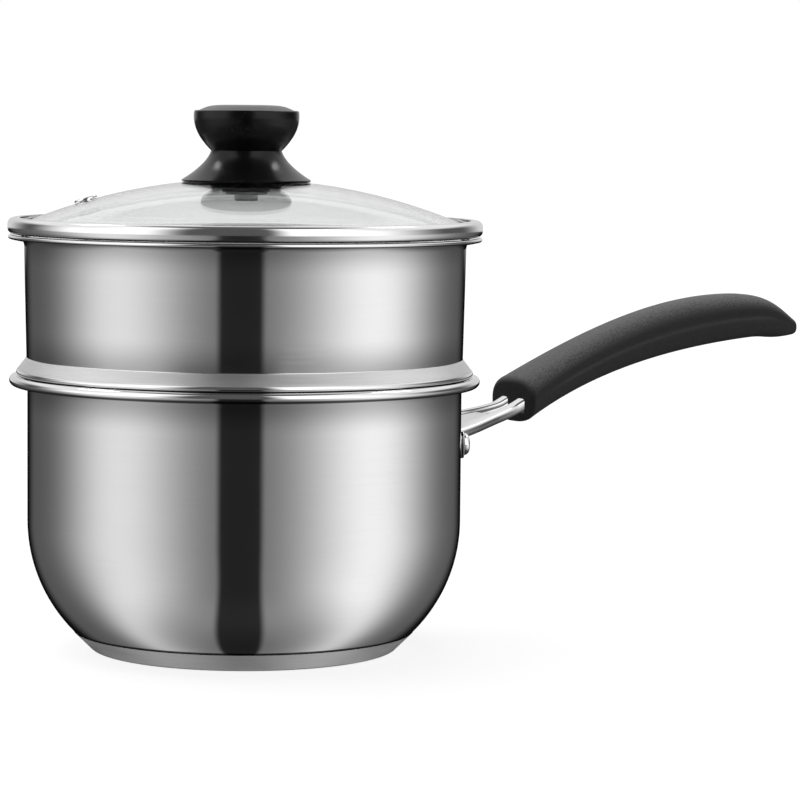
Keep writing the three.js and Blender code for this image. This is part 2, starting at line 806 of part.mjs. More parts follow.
function ventEyelet() {
  const sag = ventFlangeRadius * Math.tan(Math.PI / shellSides);
  const high = seatGap;
  const low = -glassThickness - seatGap - sag;
  return revolve(rounded([
    [ventBoreRadius, low - ventFlangeHeight],
    [ventFlangeRadius, low - ventFlangeHeight],
    [ventFlangeRadius, low],
    [ventTubeRadius, low],
    [ventTubeRadius, high],
    [ventFlangeRadius, high],
    [ventFlangeRadius, high + ventFlangeHeight, ventFlangeHeight * headRoundShare],
    [ventBoreRadius, high + ventFlangeHeight]
  ]), pinSides).applyMatrix4(ventFrame());
}

// Knob, from the glass upwards

const gasketFoot = domeTop + seatGap;
const bossFoot = gasketFoot + knobGasketThickness + seatGap;
const skirtFoot = domeHeight(knobFlangeRadius) + holeGap;
const flangeTop = domeTop + knobFlangeHeight;
const cupFoot = flangeTop + seatGap;
const cupTop = cupFoot + knobCupHeight;
const capFloor = cupTop - knobCapThickness - pressGap;
const capRecess = knobCupRadius - knobCapInset;
const insertFoot = cupFoot + pressGap;

function knobFlange() {
  const edge = knobFlangeRadius - knobFlangeEdge;
  const side = curve(
    [knobFlangeRadius, skirtFoot + knobFlangeEdge],
    [edge, skirtFoot + knobFlangeHeight * knobCurveShare],
    [knobWaistRadius, flangeTop - knobFlangeHeight * knobCurveShare],
    [knobWaistRadius, flangeTop],
    knobSteps
  );
  const inside = rounded([
    [knobHole, flangeTop],
    [knobHole, bossFoot],
    [knobBossRadius, bossFoot],
    [knobBossRadius, flangeTop - knobFlangeShell],
    [edge, skirtFoot],
    [knobFlangeRadius, skirtFoot]
  ]);
  return revolve([...inside, ...side], knobSides);
}

function knobCup() {
  const pocket = knobInsertRadius + pressGap;
  const pocketTop = cupFoot + knobInsertLength + pressGap;
  const underside = rounded([[0, pocketTop], [pocket, pocketTop], [pocket, cupFoot]]);
  const widest = cupTop - knobCupRound;
  const bowl = curve(
    [knobWaistRadius, cupFoot],
    [(knobWaistRadius + knobCupRadius) / 2, cupFoot + knobCupHeight * knobBowlPull],
    [knobCupRadius, cupFoot + knobCupHeight / 2],
    [knobCupRadius, widest],
    knobSteps
  );
  const brim = curve(
    [knobCupRadius, widest],
    [knobCupRadius, cupTop],
    [knobCupRadius, cupTop],
    [capRecess, cupTop],
    rollSteps
  );
  const recess = rounded([[capRecess, capFloor], [0, capFloor]]);
  return revolve([...underside, ...bowl, ...brim.slice(1), ...recess], knobSides);
}

function knobCap() {
  const low = capFloor + pressGap;
  const radius = capRecess - pressGap;
  const crown = low + knobCapThickness + knobCapCrown;
  const pull = [knobCapFlat * radius, crown];
  const face = curve([radius, low + knobCapThickness], pull, pull, [0, crown], rollSteps);
  return revolve([...rounded([[0, low], [radius, low]]), ...face], knobSides);
}

function knobInsert() {
  const bore = knobScrewRadius + holeGap;
  const boreTop = insertFoot + knobScrewGrip + holeGap;
  const high = cupFoot + knobInsertLength;
  return revolve(rounded([
    [0, boreTop],
    [bore, boreTop],
    [bore, insertFoot],
    [knobInsertRadius, insertFoot],
    [knobInsertRadius, high],
    [0, high]
  ]), pinSides);
}

function glassUnderside(radius) {
  const inside = domeRadius - glassThickness;
  return domeUnder - inside + Math.sqrt(inside ** 2 - radius ** 2);
}

const underGasketTop = glassUnderside(knobGasketRadius) - seatGap;
const washerTop = underGasketTop - knobGasketThickness - seatGap;
const screwHeadTop = washerTop - knobWasherThickness - seatGap;

function knobGasket(high) {
  return revolve(ring(knobHole, knobGasketRadius, high - knobGasketThickness, high), knobSides);
}

function knobWasher() {
  return revolve(ring(knobHole, knobWasherRadius, washerTop - knobWasherThickness, washerTop), knobSides);
}

function knobScrew() {
  const low = screwHeadTop - knobScrewHeadHeight;
  const tip = insertFoot + knobScrewGrip;
  return revolve(rounded([
    [0, low],
    [knobScrewHeadRadius, low, knobScrewHeadRound],
    [knobScrewHeadRadius, screwHeadTop],
    [knobScrewRadius, screwHeadTop],
    [knobScrewRadius, tip],
    [0, tip]
  ]), pinSides);
}

// Assembly

const [frontSide, rearSide] = handleSides;

const pan = new THREE.Group();
pan.add(
  piece('pan_shell', panShell(), 'mirrorSteel'),
  piece('base_core', baseCore(), 'aluminium'),
  piece('base_cap', baseCap(), 'satinSteel'),
  piece('handle_bracket', handleBracket(), 'mirrorSteel'),
  piece('rivet_front', rivet(frontSide), 'mirrorSteel'),
  piece('rivet_rear', rivet(rearSide), 'mirrorSteel'),
  piece('handle_grip', handleGrip(), 'softBlack'),
  piece('handle_screw_front', gripScrew(frontSide), 'satinSteel'),
  piece('handle_screw_rear', gripScrew(rearSide), 'satinSteel')
);

const steamer = new THREE.Group();
steamer.add(piece('steamer_shell', steamerShell(), 'mirrorSteel'));

const lid = new THREE.Group();
lid.add(
  piece('lid_glass', lidGlass(), 'glass'),
  piece('lid_band', lidBand(), 'mirrorSteel'),
  piece('lid_seal', lidSeal(), 'silicone'),
  piece('vent_eyelet', ventEyelet(), 'mirrorSteel'),
  piece('knob_gasket_top', knobGasket(gasketFoot + knobGasketThickness), 'silicone'),
  piece('knob_flange', knobFlange(), 'glossBlack'),
  piece('knob_cup', knobCup(), 'glossBlack'),
  piece('knob_cap', knobCap(), 'satinGrey'),
  piece('knob_insert', knobInsert(), 'brass'),
  piece('knob_gasket_under', knobGasket(underGasketTop), 'silicone'),
  piece('knob_washer', knobWasher(), 'satinSteel'),
  piece('knob_screw', knobScrew(), 'satinSteel')
);

const milkPan = new THREE.Group();
milkPan.add(pan, steamer, lid);

export default milkPan;
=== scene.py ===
import json
from math import asin, copysign, cos, exp, pi, radians, sin, sqrt, tan

import bmesh
import bpy
from mathutils import Matrix, Quaternion, Vector
from mathutils.geometry import delaunay_2d_cdt


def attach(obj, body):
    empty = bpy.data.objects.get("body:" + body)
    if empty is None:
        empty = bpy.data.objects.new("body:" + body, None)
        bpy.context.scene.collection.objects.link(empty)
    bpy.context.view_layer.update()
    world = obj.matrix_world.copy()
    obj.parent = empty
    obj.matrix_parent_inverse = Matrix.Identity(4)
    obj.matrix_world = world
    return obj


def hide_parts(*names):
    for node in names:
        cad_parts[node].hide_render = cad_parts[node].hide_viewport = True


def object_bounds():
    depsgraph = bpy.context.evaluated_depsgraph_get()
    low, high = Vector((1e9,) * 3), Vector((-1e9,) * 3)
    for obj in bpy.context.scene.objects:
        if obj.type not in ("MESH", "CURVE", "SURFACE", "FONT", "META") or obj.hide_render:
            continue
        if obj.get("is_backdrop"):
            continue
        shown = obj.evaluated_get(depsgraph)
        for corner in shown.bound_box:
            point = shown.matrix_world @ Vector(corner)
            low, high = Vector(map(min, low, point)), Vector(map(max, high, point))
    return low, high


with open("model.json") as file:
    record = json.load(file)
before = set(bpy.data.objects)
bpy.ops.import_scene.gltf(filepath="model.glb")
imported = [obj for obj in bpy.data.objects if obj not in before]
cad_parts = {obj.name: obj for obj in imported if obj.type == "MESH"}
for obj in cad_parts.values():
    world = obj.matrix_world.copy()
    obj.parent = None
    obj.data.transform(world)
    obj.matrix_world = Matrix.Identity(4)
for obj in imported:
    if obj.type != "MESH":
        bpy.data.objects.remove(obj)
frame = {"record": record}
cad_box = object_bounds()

# Sizes in millimetres, the main ones the same as in the part's source
SEAT_GAP = 0.25
PRESS_GAP = 0.2
HOLE_GAP = 0.3
SOCKET_GAP = 0.4
SKIRT_GAP = 0.7
EDGE_SOFT = 0.3
RING_SOFT = 0.2

PAN_RADIUS = 80.5
PAN_SHEET = 0.8
PAN_HEIGHT = 102.1
PAN_FLOOR_FILLET = 12
PAN_CORNER_RADIUS = 58
PAN_CORNER_SPLIT = radians(46)
PAN_FLARE_RADIUS = 5
PAN_FLARE_ANGLE = radians(65)
PAN_RIM_OVERHANG = 6.7
PAN_CURL_RADIUS = 1.5
PAN_CURL_ANGLE = radians(235)

CAP_SHEET = 0.6
CAP_FOOT_STEP = 1
CAP_RIM_STEP = 8
CAP_FOOT_ROUND = 1.2
CAP_RIM_SOFT = 0.15
CORE_THICKNESS = 3

BRACKET_DROP = 26.8
FOOT_SHEET = 2
FOOT_HEIGHT = 10.5
FOOT_START = radians(10.5)
FOOT_END = radians(24)
FOOT_ROUND = 4
FOOT_BEVEL = 0.5
FOOT_FACE_INSETS = (1.5, 2.5, 3.4)
RIVET_ANGLE = radians(20)
RIVET_RADIUS = 2.2
RIVET_HEAD_RADIUS = 4.2
RIVET_HEAD_HEIGHT = 2.2
RIVET_TAIL_HEIGHT = 1.2
HEAD_ROUND_SHARE = 0.8
RIVET_DOME_SHARE = 0.96
FACET_HALF_TURN = pi / 32
ARM_ROOT_ANGLE = radians(13.5)
ARM_ROOT_LIFT = 2.5
ARM_ROOT_WIDTH = 8.4
ARM_WIDTH = 6
ARM_HEIGHT = 4.2
ARM_CHAMFER = 1.5
ARM_FULL_ROUND = 0.98
ARM_GROOVE = 0.6
ARM_SPACING = 12
ARM_REACH = 30
ARM_BEND = 5
ARM_BEND_SHARES = (0.3, 0.1)
WEB_SHEET = 1.6
WEB_START = 4
WEB_LENGTH = 19
WEB_EDGE_SHARE = 0.1

GRIP_STAND_OFF = 37.2
GRIP_LIFT = 11.3
GRIP_FRONT_HEIGHT = 17.5
GRIP_FRONT_WIDTH = 30.5
GRIP_WAIST_WIDTH = 24
GRIP_TAIL_WIDTH = 27
GRIP_ARM_OFFSET = 1.4
GRIP_RISE = radians(26.7)
GRIP_FOOT_RISE = radians(30.3)
GRIP_PEAK_RUN = 105.4
GRIP_PEAK_RISE = 31.2
GRIP_BELLY_RISE = 30.7
GRIP_BELLY_LAG = 3.6
GRIP_TAIL_RUN = 27.4
GRIP_TAIL_DROP = 10.2
GRIP_BEAK_HEIGHT = 7.2
GRIP_NOSE = 3.2
GRIP_NOSE_TURN = radians(80)
GRIP_FRONT_ROUND = 2
GRIP_SQUARENESS = 2.7
GRIP_CURVE_SHARE = 0.355
GRIP_TAIL_SHARE = 0.46
GRIP_BELLY_SLOPE = radians(5.3)
GRIP_BEAK_SLOPE = radians(34)
GRIP_CHIN_SLOPE = radians(8)
GRIP_TAIL_TAPER = 0.8
GRIP_LINE_DEPTH = 0.9
GRIP_LINE_LIFT = 0.08
GRIP_LINE_SPREAD = 0.16
GRIP_LINE_START = 5
GRIP_FRONT_CLEAR = 1.2

GRIP_SCREW_RADIUS = 1.4
GRIP_SCREW_HEAD_RADIUS = 2.6
GRIP_SCREW_HEAD_HEIGHT = 1.3
GRIP_SCREW_LEDGE = 1.4
GRIP_SCREW_REACH = 18
GRIP_SCREW_LENGTH = 5
SLOT_LENGTH = 1.4
SLOT_WIDTH = 0.3
SLOT_DEPTH = 0.8
SLOT_CLEAR = 0.5
SLOT_TAPER = 0.6

STEAMER_SHEET = 0.6
STEAMER_WALL_STEP = 0.35
STEAMER_WALL_TOP = 41
STEAMER_TAPER = radians(1.2)
STEAMER_SKIRT_DEPTH = 12.5
STEAMER_FLOOR_FILLET = 3
SHOULDER_REACH = 4.1
SHOULDER_SEAT_BEND = 1.2
SHOULDER_ROLL = 1.2
SHOULDER_CONE = radians(128)
SHOULDER_BLEND = 0.6
LIP_OVERHANG = 5.9
LIP_FLARE = 3.5
LIP_RISE = radians(12)
LIP_HEM = 0.55
LIP_HEM_RETURN = 1.8
STEAM_HOLE_RADIUS = 3.2
STEAM_HOLE_SOFT = 0.12
STEAM_HOLE_PITCH = 20
STEAM_HOLE_RINGS = 3
STEAM_HOLES_PER_RING = 6

BAND_OVERLAP = 0.2
BAND_SHEET = 0.5
BAND_FLANGE = 4.5
BAND_TOP_ROUND = 2.7
BAND_FOOT_ROUND = 2.4
CHANNEL_EDGE_SHARE = 0.4
SEAL_SHEET = 0.45
SEAL_FLANGE = 3.2
GLASS_THICKNESS = 3.2
GLASS_RIM_FILLET = 8
GLASS_EDGE_ROUND = 1.5
GLASS_RIM_MARGIN = 1.75
DOME_RADIUS = 210
VENT_REACH = 59
VENT_ANGLE = radians(152)
VENT_TUBE_RADIUS = 2.6
VENT_BORE_RADIUS = 1.5
VENT_FLANGE_RADIUS = 4.4
VENT_FLANGE_HEIGHT = 0.9

KNOB_FLANGE_RADIUS = 24.1
KNOB_FLANGE_HEIGHT = 10.4
KNOB_FLANGE_EDGE = 0.7
KNOB_FLANGE_SHELL = 3.2
KNOB_FLANGE_FOOT_PULL = (0.84, 0.2)
KNOB_FLANGE_WAIST_PULL = (1.09, 0.62)
KNOB_BOWL_PULL = 0.2
KNOB_BOSS_RADIUS = 9.5
KNOB_SHELL_ROUND = 1
KNOB_RIM_SOFT = 0.5
KNOB_WAIST_RADIUS = 13.1
KNOB_CUP_RADIUS = 19.5
KNOB_CUP_HEIGHT = 14.6
KNOB_CUP_ROUND = 2.4
KNOB_CAP_INSET = 1.7
KNOB_CAP_THICKNESS = 1.3
KNOB_CAP_CROWN = 2
KNOB_CAP_FLAT = 0.75
KNOB_INSERT_RADIUS = 4.2
KNOB_INSERT_LENGTH = 8.5
KNOB_SCREW_RADIUS = 2
KNOB_SCREW_GRIP = 7
KNOB_SCREW_HEAD_RADIUS = 4.4
KNOB_SCREW_HEAD_HEIGHT = 2.2
KNOB_SCREW_HEAD_ROUND = 0.8
KNOB_SCREW_TIP_ROUND = 0.4
KNOB_WASHER_RADIUS = 7.5
KNOB_WASHER_THICKNESS = 1
KNOB_GASKET_RADIUS = 9
KNOB_GASKET_THICKNESS = 0.8

# Faces round the axis and along bends of the fine surfaces
SHELL_SIDES = 192
GRIP_SIDES = 192
KNOB_SIDES = 128
SMALL_SIDES = 64
HOLE_SIDES = 40
GRIP_STEPS = 56
TAIL_STEPS = 40
WIDE_STEPS = 24
BEND_STEPS = 14
ARM_STEPS = 12
FINE_STEPS = 10
EDGE_STEPS = 8
SMALL_STEPS = 6
FEW_STEPS = 4

METRE = 0.001
HAIRLINE = 0.04
WELD = 1e-7
FLAT_WELD = 1e-6
ON_AXIS = 1e-9
CREASE = 35
QUARTER = pi / 2
CAMERA_AZIMUTH = radians(-28)
CAMERA_ROLL = radians(0.55)

body_of = {
    node: body
    for body, nodes in frame["record"]["behaviour"]["bodies"].items()
    for node in nodes
}
slot_of = {part["node"]: part["material_slot"] for part in frame["record"]["subparts"]}


# Finishes


class Shader:
    """Builds the nodes of one material or world."""

    def __init__(self, owner):
        owner.use_nodes = True
        self.tree = owner.node_tree
        self.tree.nodes.clear()

    def feed(self, socket, value):
        if isinstance(value, bpy.types.NodeSocket):
            self.tree.links.new(value, socket)
        else:
            socket.default_value = value

    def node(self, kind, settings=None, **inputs):
        made = self.tree.nodes.new(kind)
        for name, value in (settings or {}).items():
            setattr(made, name, value)
        for name, value in inputs.items():
            self.feed(made.inputs[name.replace("_", " ")], value)
        return made

    def fed(self, kind, settings, *values):
        """Node whose first inputs take the values in order."""
        made = self.node(kind, settings)
        for index, value in enumerate(values):
            self.feed(made.inputs[index], value)
        return made.outputs[0]

    def math(self, operation, *values):
        return self.fed("ShaderNodeMath", {"operation": operation}, *values)

    def times(self, first, *others):
        for other in others:
            first = self.math("MULTIPLY", first, other)
        return first

    def plus(self, first, *others):
        for other in others:
            first = self.math("ADD", first, other)
        return first

    def minus(self, first, second):
        return self.math("SUBTRACT", first, second)

    def towards(self, level, share, target):
        """Level moved by a share of the way to a target."""
        return self.plus(level, self.times(share, self.minus(target, level)))

    def ramp(self, value, low, high, start, end, kind="SMOOTHSTEP"):
        """Value mapped from low..high to start..end, held outside that range."""
        settings = {"interpolation_type": kind, "clamp": True}
        return self.fed("ShaderNodeMapRange", settings, value, low, high, start, end)

    def linear(self, *values):
        return self.ramp(*values, "LINEAR")

    def blend(self, share, first, second):
        """Colour mixed from first to second by share."""
        made = self.node("ShaderNodeMix", {"data_type": "RGBA"})
        for index, value in ((0, share), (6, first), (7, second)):
            self.feed(made.inputs[index], value)
        return made.outputs[2]

    def place(self):
        return self.node("ShaderNodeTexCoord").outputs["Object"]

    def parts(self, vector):
        return self.node("ShaderNodeSeparateXYZ", Vector=vector).outputs

    def upward(self):
        """Rise of the surface's normal, from -1 where it faces down to 1 where it faces up."""
        return self.parts(self.node("ShaderNodeNewGeometry").outputs["Normal"])[2]

    def turned(self, stretch):
        """Coordinates round Z in which the way round counts for little, so noise becomes fine rings."""
        x, y, z = self.parts(self.place())
        radius = self.math("SQRT", self.plus(self.times(x, x), self.times(y, y)))
        angle = self.math("ARCTAN2", y, x)
        return self.node("ShaderNodeCombineXYZ", X=radius, Y=self.times(angle, stretch), Z=z).outputs[0]

    def noise(self, scale, detail=3, rings=0):
        """Even noise, or rings about Z where the way round counts for the given share."""
        vector = self.turned(rings) if rings else self.place()
        return self.node("ShaderNodeTexNoise", Vector=vector, Scale=scale, Detail=detail).outputs[0]

    def bump(self, height, strength, distance):
        return self.node("ShaderNodeBump", Height=height, Strength=strength, Distance=distance).outputs[0]

    def surface(self, made, kind="ShaderNodeOutputMaterial"):
        self.node(kind, Surface=made.outputs[0])

    def principled(self, **inputs):
        self.surface(self.node("ShaderNodeBsdfPrincipled", **inputs))


def grey(value):
    return (value, value, value, 1)


def new_material(name):
    material = bpy.data.materials.new(name)
    return material, Shader(material)


# Range of noise that roughness follows, depth of brushed lines in metres, tones and roughness of steel
GRAIN = (0.3, 0.7)
BRUSHED_DEPTH = 0.00005
STEEL_TONES = (0.83, 0.76)
POLISH = (0.035, 0.075)
POLISH_RANGE = (0.1, 0.5)
SATIN_TONE_SPREAD = 0.06
SATIN_ROUGHNESS_SPREAD = 0.05
SATIN_BANDING = 12


def mirror_steel(name, painted_shade_fades=(), dull=0, shade=(-0.6, -0.1, 0.1)):
    """Polished stainless steel with a trace of haze and wipe marks.

    Each fade gives the tone a start and an end between two heights: painted shade for walls that darken near
    an edge.
    A dull finish is rougher. The shade gives the tone of what faces down, between two rises of the normal:
    painted shade on downward faces.
    """
    material, shader = new_material(name)
    haze = shader.noise(scale=45)
    wipes = shader.noise(scale=900, rings=0.004)
    mix = shader.times(haze, wipes)
    tone = shader.linear(mix, 0, 1, *STEEL_TONES)
    height = shader.parts(shader.place())[2]
    # Painted shade: the tone darkens between the given heights, near the formed edges of a wall.
    for low, high, start, end in painted_shade_fades:
        tone = shader.times(tone, shader.ramp(height, low * METRE, high * METRE, start, end))
    # Painted shade: faces that turn downwards get a darker tone.
    if shade:
        tone = shader.times(tone, shader.ramp(shader.upward(), *shade, 1))
    shader.principled(
        Base_Color=shader.node("ShaderNodeCombineColor", Red=tone, Green=tone, Blue=tone).outputs[0],
        Metallic=1,
        Roughness=shader.linear(mix, *POLISH_RANGE, *(rough + dull for rough in POLISH)),
    )
    return material


def satin_steel(name, tone, roughness, fineness):
    """Stainless steel brushed round the axis."""
    material, shader = new_material(name)
    streaks = shader.noise(scale=fineness, detail=4, rings=0.003)
    bands = shader.noise(scale=fineness / SATIN_BANDING, rings=0.02)
    smoothest = roughness - SATIN_ROUGHNESS_SPREAD
    roughest = roughness + SATIN_ROUGHNESS_SPREAD
    shader.principled(
        Base_Color=shader.blend(streaks, grey(tone - SATIN_TONE_SPREAD), grey(tone + SATIN_TONE_SPREAD)),
        Metallic=1,
        Roughness=shader.linear(bands, *GRAIN, smoothest, roughest),
        Normal=shader.bump(streaks, 0.12, BRUSHED_DEPTH),
    )
    return material


def soft_black():
    """Heat-proof moulding with a fine matt grain, and painted light that makes it paler where it faces up."""
    material, shader = new_material("soft_black")
    grain = shader.noise(scale=1300, detail=4)
    cloud = shader.noise(scale=160)
    # Painted light: the colour is paler where the surface faces up, broken up by the grain.
    facing_up = shader.ramp(shader.upward(), 0.1, 1, 0, 1)
    painted_top_light = shader.times(facing_up, shader.ramp(grain, 0.36, 0.64, 0.45, 1))
    plain = shader.blend(cloud, (0.012, 0.012, 0.0125, 1), (0.018, 0.018, 0.0185, 1))
    shader.principled(
        Base_Color=shader.blend(painted_top_light, plain, (0.13, 0.13, 0.131, 1)),
        Roughness=shader.linear(grain, *GRAIN, 0.5, 0.66),
        Specular_IOR_Level=0.3,
        Normal=shader.bump(grain, 0.6, 0.0002),
    )
    return material


def mottled(name, colours, roughness, scale, detail=3, rings=0, spread=GRAIN, relief=0, **more):
    """Finish whose colour and roughness follow one noise, over a spread of it for the roughness."""
    material, shader = new_material(name)
    noise = shader.noise(scale, detail, rings)
    if relief:
        more["Normal"] = shader.bump(noise, relief, BRUSHED_DEPTH)
    shade = shader.linear(noise, *spread, *roughness)
    shader.principled(Base_Color=shader.blend(noise, *colours), Roughness=shade, **more)
    return material


finishes = {
    # Mirror steel carries painted shade on faces that turn downwards.
    "mirror_steel": mirror_steel("mirror_steel"),
    # Painted shade: the pan's wall steel darkens towards the rim, between 86 and 98 mm up.
    "pan_wall": mirror_steel("pan_wall", [(86, 98, 1, 0.52)], shade=None),
    # Painted shade: the steamer's wall steel darkens towards the shoulder below and the lip above.
    "steamer_wall": mirror_steel("steamer_wall", [(107, 121, 0.5, 1), (141, 154, 1, 0.5)], shade=None),
    # Painted shade: the band's steel goes nearly black on faces that turn downwards, towards the lip.
    "band_steel": mirror_steel("band_steel", dull=0.06, shade=(-0.85, -0.45, 0.05)),
    # Painted shade: the arm steel darkens on faces that turn sideways or downwards.
    "arm_steel": mirror_steel("arm_steel", dull=0.05, shade=(-0.3, 0.6, 0.3)),
    "satin_steel": satin_steel("satin_steel", tone=0.66, roughness=0.34, fineness=1800),
    "cap_steel": satin_steel("cap_steel", tone=0.84, roughness=0.42, fineness=1800),
    "inner_steel": satin_steel("inner_steel", tone=0.66, roughness=0.3, fineness=1200),
    "aluminium_disc": mottled(
        "rolled_aluminium", ((0.62, 0.63, 0.64, 1), (0.72, 0.73, 0.74, 1)), (0.35, 0.5),
        scale=1500, rings=0.003, Metallic=1,
    ),
    "brass": mottled(
        "turned_brass", ((0.62, 0.47, 0.2, 1), (0.76, 0.61, 0.33, 1)), (0.25, 0.4),
        scale=2500, rings=0.002, Metallic=1,
    ),
    "soft_black": soft_black(),
    "gloss_black": mottled(
        "gloss_black", (grey(0.004), grey(0.008)), (0.16, 0.24),
        scale=300, detail=5, spread=(0.3, 0.75), Specular_IOR_Level=0.24,
    ),
    "satin_grey": mottled(
        "satin_grey", (grey(0.1), grey(0.14)), (0.38, 0.52), scale=2600, detail=4, rings=0.002, relief=0.1,
    ),
    "silicone": mottled("silicone", ((0.5, 0.5, 0.49, 1), (0.6, 0.6, 0.585, 1)), (0.5, 0.65), scale=400),
    "clear_glass": mottled(
        "clear_glass", ((0.925, 0.935, 0.935, 1), (0.955, 0.96, 0.96, 1)), (0, 0.03),
        scale=70, detail=4, spread=(0.45, 0.8), IOR=1.5, Transmission_Weight=1,
    ),
}


# Outlines in the (radius, height) half plane, with a finish number for each stretch of a sheet

MIRROR, INNER, WALL, SATIN = 0, 1, 2, 3


class MidLine:
    """Mid-line of a formed sheet, drawn as runs and bends, with the finishes of both sides."""

    def __init__(self, radius, height, heading):
        self.place = Vector((radius, height))
        self.heading = heading
        self.stations = []
        self.finishes = (MIRROR, MIRROR)
        self.note()

    def note(self):
        normal = Vector((-sin(self.heading), cos(self.heading)))
        self.stations.append((self.place.copy(), normal, self.finishes))

    def finish(self, left, right):
        """Finishes of the stretches that follow."""
        self.finishes = (left, right)
        return self

    def run(self, length, steps=1):
        along = Vector((cos(self.heading), sin(self.heading)))
        start = self.place.copy()
        for step in range(1, steps + 1):
            self.place = start + along * length * step / steps
            self.note()
        return self

    def bend(self, angle, radius, steps=FINE_STEPS):
        side = copysign(radius, angle)
        centre = self.place + Vector((-sin(self.heading), cos(self.heading))) * side
        arm = self.place - centre
        start = self.heading
        for step in range(1, steps + 1):
            turn = angle * step / steps
            self.place = centre + Matrix.Rotation(turn, 2) @ arm
            self.heading = start + turn
            self.note()
        return self

    def outline(self, sheet):
        """Closed outline, up the left side and back on the right, and the finish after each point."""
        half = sheet / 2
        left = [place + normal * half for place, normal, _ in self.stations]
        right = [place - normal * half for place, normal, _ in self.stations]
        marks = [finishes for _, _, finishes in self.stations[1:]]
        tags = [mark for mark, _ in marks] + [MIRROR] + [mark for _, mark in marks[::-1]] + [MIRROR]
        return left + right[::-1], tags


def middle_of(points):
    return sum(points[1:], points[0]) / len(points)


def polar(radius, angle, height=0):
    return Vector((radius * cos(angle), radius * sin(angle), height))


def turns(count):
    """Angles of even steps round a circle."""
    return [2 * pi * index / count for index in range(count)]


def bezier(points, share):
    """Point at a share of the way along a curve that the inner points pull."""
    while len(points) > 1:
        points = [a.lerp(b, share) for a, b in zip(points, points[1:])]
    return points[0]


def curve(start, start_pull, end_pull, end, steps):
    points = [Vector(point) for point in (start, start_pull, end_pull, end)]
    return [bezier(points, step / steps) for step in range(steps + 1)]


def rounded(corners, steps=FINE_STEPS):
    """Outline through (radius, height, setback) corners. A setback rounds its corner."""
    places = [Vector(corner[:2]) for corner in corners]
    outline = []
    for index, corner in enumerate(corners):
        here = places[index]
        if len(corner) < 3:
            outline.append(here)
            continue
        before = here + (places[index - 1] - here).normalized() * corner[2]
        after = here + (places[(index + 1) % len(places)] - here).normalized() * corner[2]
        outline.extend(bezier([before, here, after], step / steps) for step in range(steps + 1))
    return outline


# Skins: points, faces and a finish number for each face


def strip(rows, sides, closed=False):
    """Faces between neighbouring rings of points. A closed strip runs back to the first ring."""
    faces = []
    for row in range(rows if closed else rows - 1):
        low = row * sides
        high = (row + 1) % rows * sides
        for side in range(sides):
            other = (side + 1) % sides
            faces.append((low + side, low + other, high + other, high + side))
    return faces


def revolve(outline, sides=SHELL_SIDES, tags=None, closed=None):
    """Turns an outline about Z. An outline off the axis closes on itself unless it is told not to."""
    if closed is None:
        closed = outline[0][0] > ON_AXIS
    points = [polar(radius, angle, height) for radius, height in outline for angle in turns(sides)]
    faces = strip(len(outline), sides, closed)
    return points, faces, [tags[index // sides] if tags else MIRROR for index in range(len(faces))]


def loft(rings):
    """Skin through rings of points, with a fan across each end."""
    sides = len(rings[0])
    points = [point for ring in rings for point in ring]
    faces = strip(len(rings), sides)
    for ring, start in ((rings[0], 0), (rings[-1], (len(rings) - 1) * sides)):
        hub = len(points)
        points.append(middle_of(ring))
        faces.extend((hub, start + side, start + (side + 1) % sides) for side in range(sides))
    return points, faces, [MIRROR] * len(faces)


def moved(skin, matrix):
    points, faces, finish = skin
    return [matrix @ point for point in points], faces, finish


def joined(*skins):
    points = []
    faces = []
    finish = []
    for more_points, more_faces, more_finish in skins:
        start = len(points)
        points.extend(more_points)
        faces.extend(tuple(start + corner for corner in face) for face in more_faces)
        finish.extend(more_finish)
    return points, faces, finish


def mesh_of(name, skin, crease=CREASE):
    """Mesh of a skin in metres, welded, facing outwards and smooth except at sharp edges."""
    points, faces, finish = skin
    work = bmesh.new()
    corners = [work.verts.new(point * METRE) for point in points]
    for face, tag in zip(faces, finish):
        made = work.faces.new([corners[corner] for corner in face])
        made.material_index = tag
        made.smooth = True
    bmesh.ops.remove_doubles(work, verts=work.verts, dist=WELD)
    bmesh.ops.recalc_face_normals(work, faces=work.faces)
    mesh = bpy.data.meshes.new(name)
    work.to_mesh(mesh)
    work.free()
    mesh.set_sharp_from_angle(angle=radians(crease))
    return mesh


def add_object(name, data):
    made = bpy.data.objects.new(name, data)
    bpy.context.scene.collection.objects.link(made)
    return made


def piece(node, skin, extra=(), crease=CREASE, finish=None):
    """Fine piece that stands for a CAD node, in the node's finish or another, and any extra ones."""
    made = add_object("fine_" + node, mesh_of("fine_" + node, skin, crease))
    for slot in (finish or slot_of[node], *extra):
        made.data.materials.append(finishes[slot])
    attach(made, body_of[node])
    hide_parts(node)
    return made


def cut(target, skins):
    """Cuts skins out of a piece."""
    for skin in skins:
        mesh = mesh_of("cutter", skin)
        tool = add_object("cutter", mesh)
        step = target.modifiers.new("cut", "BOOLEAN")
        step.operation = "DIFFERENCE"
        step.solver = "EXACT"
        step.object = tool
        bpy.context.view_layer.objects.active = target
        bpy.ops.object.modifier_apply(modifier=step.name)
        bpy.data.objects.remove(tool)
        bpy.data.meshes.remove(mesh)
    target.data.set_sharp_from_angle(angle=radians(CREASE))


def pin(radius, low, high):
    return revolve(rounded([(0, low), (radius, low), (radius, high), (0, high)]), SMALL_SIDES)


def screw_skin(head, seat, tip, sides):
    """Screw with its head, of a radius, height and rounding, under a seat and its tip above."""
    radius, height, soft = head
    low = seat - height
    outline = [(0, low), (radius, low, soft), (radius, seat), (tip[0][0], seat), *tip]
    return revolve(rounded(outline, SMALL_STEPS), sides)


def box_ring(x, y, height):
    return [Vector((across, along, height)) for across, along in ((-x, -y), (x, -y), (x, y), (-x, y))]


def frame_along(place, axis):
    turn = Vector((0, 0, 1)).rotation_difference(axis)
    return Matrix.Translation(place) @ turn.to_matrix().to_4x4()


# Pan and base

